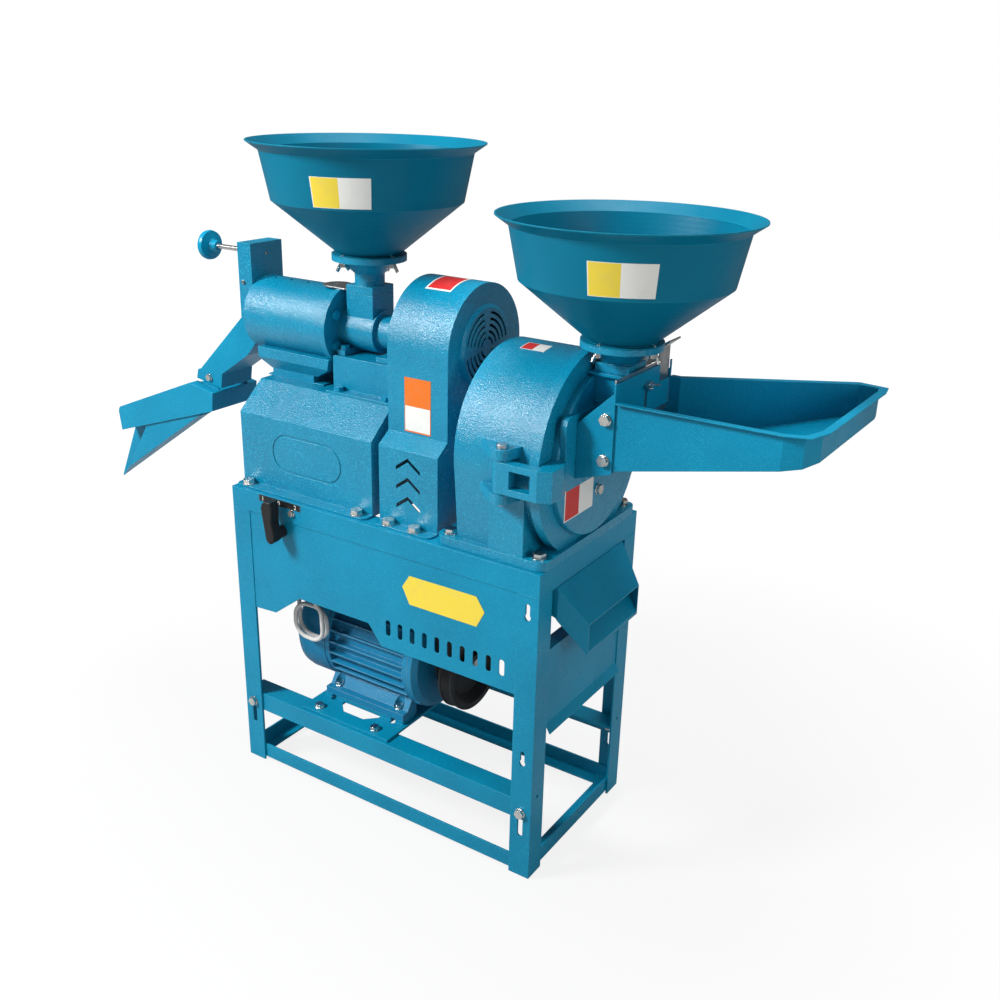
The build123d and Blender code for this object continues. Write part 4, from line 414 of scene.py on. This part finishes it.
def make_plates():
    plates = (
        ("rice_hopper_plate", "yellow_white", "machine",
         cone_place(RICE_HOPPER_X, (-82.0, -49.0), (0.945, 0.986), RICE_RIM_Z)),
        ("grinder_hopper_plate", "yellow_white", "door",
         cone_place(GRINDER_HOPPER_X, (-82.0, -49.5), (0.879, 0.921), GRINDER_RIM_Z)),
        ("guard_front_plate", "orange_white", "machine",
         flat_place(at(GUARD_LEFT, GUARD_FRONT, 0.638), ALONG_X, ALONG_Z, 0.046, 0.080)),
        ("guard_top_plate", "red", "machine",
         round_place(MILL_Z, GUARD_RADIUS, (GUARD_LEFT, 0.350), (118.0, 84.0))),
        ("drum_plate", "red_white", "machine",
         round_place(GRINDER_Z, DRUM_RADIUS, (0.458, 0.496), (103.0, 93.0))),
        ("door_plate", "red_white", "door",
         flat_place(at(DOOR_X, 0.050, 0.560), ALONG_Y, ALONG_Z, 0.080, 0.046)),
        ("switch_plate", "plate", "machine",
         flat_place(at(0.058, 0.0, 0.4885), ALONG_X, ALONG_Z, 0.086, 0.0105)),
    )
    for name, finish, body, place in plates:
        plate_on(name, place, finish, body)


APRON_BACK, APRON_FACE = 0.0009, 0.0005
APRON_LEFT, APRON_RIGHT, APRON_LOW, APRON_TOP = 0.338, 0.482, 0.393, 0.440
APRON_X = np.array((0.351, 0.469, APRON_RIGHT, 0.468, 0.351, APRON_LEFT))
APRON_Z = np.array((APRON_LOW, APRON_LOW, 0.419, APRON_TOP, 0.439, 0.419))


def make_apron_plate():
    """A six-cornered blank plate on the apron: one flat outline at two depths."""
    flat = np.outer(APRON_X, ALONG_X) + np.outer(APRON_Z, ALONG_Z)
    layers = np.concatenate((at(0.0, APRON_BACK, 0.0) + flat, at(0.0, APRON_FACE, 0.0) + flat))
    count = len(APRON_X)
    ring = np.arange(count)
    following = np.roll(ring, -1)
    rim = np.stack((ring, following, following + count, ring + count), axis=-1)
    faces = [(ring + count).tolist(), ring[::-1].tolist()] + rim.tolist()
    u = (APRON_X - APRON_LEFT) / (APRON_RIGHT - APRON_LEFT)
    v = (APRON_Z - APRON_LOW) / (APRON_TOP - APRON_LOW)
    uvs = np.tile(np.stack((u, v), axis=-1), (2, 1))
    object_of("apron_plate", layers, faces, "yellow", "machine", uvs=uvs, smooth=False)


NUMBER_SIZE, NUMBER_THICK = 0.0100, 0.0001
NUMBER_Y, NUMBER_Z = -0.0006, 0.4903


def make_numbers():
    """The three numbers over the switch, made upright meshes in their places."""
    for text, x in (("1", 0.064), ("0", 0.0975), ("2", 0.131)):
        data = bpy.data.curves.new("switch_number_" + text, "FONT")
        data.body = text
        data.size = NUMBER_SIZE
        data.extrude = NUMBER_THICK
        data.materials.append(finishes["print"])
        mesh = bpy.data.meshes.new_from_object(bpy.data.objects.new("text_" + text, data))
        upright = Matrix.Rotation(math.pi / 2, 4, "X")
        mesh.transform(Matrix.Translation(at(x, NUMBER_Y, NUMBER_Z)) @ upright)
        piece = bpy.data.objects.new("switch_number_" + text, mesh)
        bpy.context.scene.collection.objects.link(piece)
        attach(piece, "machine")


# Weld beads between the legs and the top frame
BEAD_RADIUS, BEAD_AROUND = 0.0013, 10
BEAD_ROW, BEAD_STEP, BEAD_DRIFT = 0.0007, 0.0026, 0.0003
BEAD_Z, BEAD_INSET = 0.46485, 0.0006
LEG_SIDE, BEAD_START = 0.034, 0.05


def bead(start, finish):
    """A tube along a straight line: middle(t) + side * (radius(t) cos a + drift(t)) + other *
    radius(t) sin a. The radius ripples with the welder's steps and closes at both ends."""
    length = np.linalg.norm(finish - start)
    way = (finish - start) / length
    side = np.cross(way, (0.3, 0.5, 0.8))
    side = side / np.linalg.norm(side)
    rows = max(12, int(length / BEAD_ROW))
    t = np.linspace(0, 1, rows + 1)[:, None, None]
    angle = (2 * np.pi * np.arange(BEAD_AROUND) / BEAD_AROUND)[None, :, None]
    close = np.minimum(1.0, 12 * np.minimum(t, 1 - t) + 0.05)
    ripple = 0.86 + 0.14 * np.cos(2 * np.pi * t * length / BEAD_STEP)
    radius = BEAD_RADIUS * np.sqrt(close) * ripple
    drift = BEAD_DRIFT * np.sin(31.0 * t + 70.0 * start[0])
    points = (start + way * (length * t) + side * (radius * np.cos(angle) + drift)
              + np.cross(way, side) * (radius * np.sin(angle)))
    number = np.arange((rows + 1) * BEAD_AROUND).reshape(rows + 1, BEAD_AROUND)
    beside = np.roll(number, -1, axis=1)
    wall = np.stack((number[:-1], beside[:-1], beside[1:], number[1:]), axis=-1).reshape(-1, 4)
    ends = [number[0, ::-1].tolist(), number[-1].tolist()]
    return points.reshape(-1, 3), wall.tolist() + ends


def make_beads():
    """Two beads on each of the four legs, in one piece."""
    points, faces = [], []
    count = 0
    for x, way_x in ((0.0, 1), (STAND_LENGTH, -1)):
        for y, way_y in ((0.0, 1), (STAND_DEPTH, -1)):
            corner = at(x, y, BEAD_Z)
            leg_x, leg_y = ALONG_X * way_x, ALONG_Y * way_y
            for inset, run in ((leg_y * BEAD_INSET, leg_x * LEG_SIDE),
                               (leg_x * BEAD_INSET, leg_y * LEG_SIDE)):
                start = corner + inset + run * BEAD_START
                new_points, new_faces = bead(start, corner + inset + run)
                faces += [[count + i for i in face] for face in new_faces]
                points.append(new_points)
                count += len(new_points)
    object_of("leg_welds", np.concatenate(points), faces, "sheet", "machine")


# Surroundings
AMBIENT, MIRRORED_LOSS = 0.32, 0.22


def make_world():
    """White to the camera, a dim grey to the light, and dimmer still in reflections."""
    world = bpy.data.worlds.new("studio")
    bpy.context.scene.world = world
    world.use_nodes = True
    tree = world.node_tree
    tree.nodes.clear()
    ray = add(tree, "LightPath")
    seen = math_node(tree, "MAXIMUM", ray.outputs["Is Camera Ray"], ray.outputs["Is Transmission Ray"])
    mirrored = math_node(tree, "MULTIPLY", ray.outputs["Is Glossy Ray"], MIRRORED_LOSS)
    dim = math_node(tree, "SUBTRACT", AMBIENT, mirrored)
    level = math_node(tree, "MAXIMUM", seen, dim)
    background = add(tree, "Background")
    background.inputs["Color"].default_value = (1.0, 1.0, 1.0, 1.0)
    tree.links.new(level, background.inputs["Strength"])
    out = add(tree, "OutputWorld")
    tree.links.new(background.outputs["Background"], out.inputs["Surface"])


LIT_HEIGHT = 0.6


def make_lamp(name, place, target, size, power):
    data = bpy.data.lights.new(name, "AREA")
    data.shape = "DISK"
    data.size = size
    data.energy = power
    lamp = bpy.data.objects.new(name, data)
    lamp.location = place
    lamp.rotation_euler = (Vector(target) - Vector(place)).to_track_quat("-Z", "Y").to_euler()
    bpy.context.scene.collection.objects.link(lamp)


FLOOR_HALF, FLOOR_DROP = 6.0, 0.001


def make_floor():
    """A grey floor that fades to white, for the camera, away from the machine."""
    material = bpy.data.materials.new("studio_floor")
    tree = tree_of(material)
    bsdf = shader(tree)
    bsdf.inputs["Base Color"].default_value = (0.45, 0.45, 0.45, 1.0)
    bsdf.inputs["Roughness"].default_value = 0.9
    bsdf.inputs["Specular IOR Level"].default_value = 0.05
    glow = add(tree, "Emission", Strength=1.06)
    ray = add(tree, "LightPath")
    reach = add(tree, "VectorMath", operation="LENGTH")
    tree.links.new(add(tree, "TexCoord").outputs["Object"], reach.inputs[0])
    fade = add(tree, "MapRange", From_Min=0.6, From_Max=1.8, To_Min=0.80, To_Max=1.0)
    tree.links.new(reach.outputs["Value"], fade.inputs["Value"])
    share = math_node(tree, "MULTIPLY", ray.outputs["Is Camera Ray"], fade.outputs["Result"])
    blend = add(tree, "MixShader")
    tree.links.new(share, blend.inputs[0])
    tree.links.new(bsdf.outputs["BSDF"], blend.inputs[1])
    tree.links.new(glow.outputs["Emission"], blend.inputs[2])
    out = add(tree, "OutputMaterial")
    tree.links.new(blend.outputs["Shader"], out.inputs["Surface"])
    mesh = bpy.data.meshes.new("floor")
    x = np.array((-FLOOR_HALF, FLOOR_HALF, FLOOR_HALF, -FLOOR_HALF))
    corners = np.stack((x, np.roll(x, 1), np.full(4, -FLOOR_DROP)), axis=-1)
    mesh.from_pydata(corners.tolist(), [], [(0, 1, 2, 3)])
    mesh.materials.append(material)
    floor = bpy.data.objects.new("floor", mesh)
    bpy.context.scene.collection.objects.link(floor)


make_camera()
dress_nodes()
make_plates()
make_apron_plate()
make_numbers()
make_beads()
make_world()
make_floor()
make_lamp("key", (-1.5, -1.9, 2.3), (0.0, 0.0, LIT_HEIGHT), 0.8, 112.0)
make_lamp("top", (0.2, 0.3, 3.2), (0.0, 0.0, LIT_HEIGHT), 1.6, 58.0)
make_lamp("side", (2.6, -0.6, 1.3), (0.1, 0.0, LIT_HEIGHT), 1.2, 15.0)
bpy.context.scene.view_settings.view_transform = "Standard"
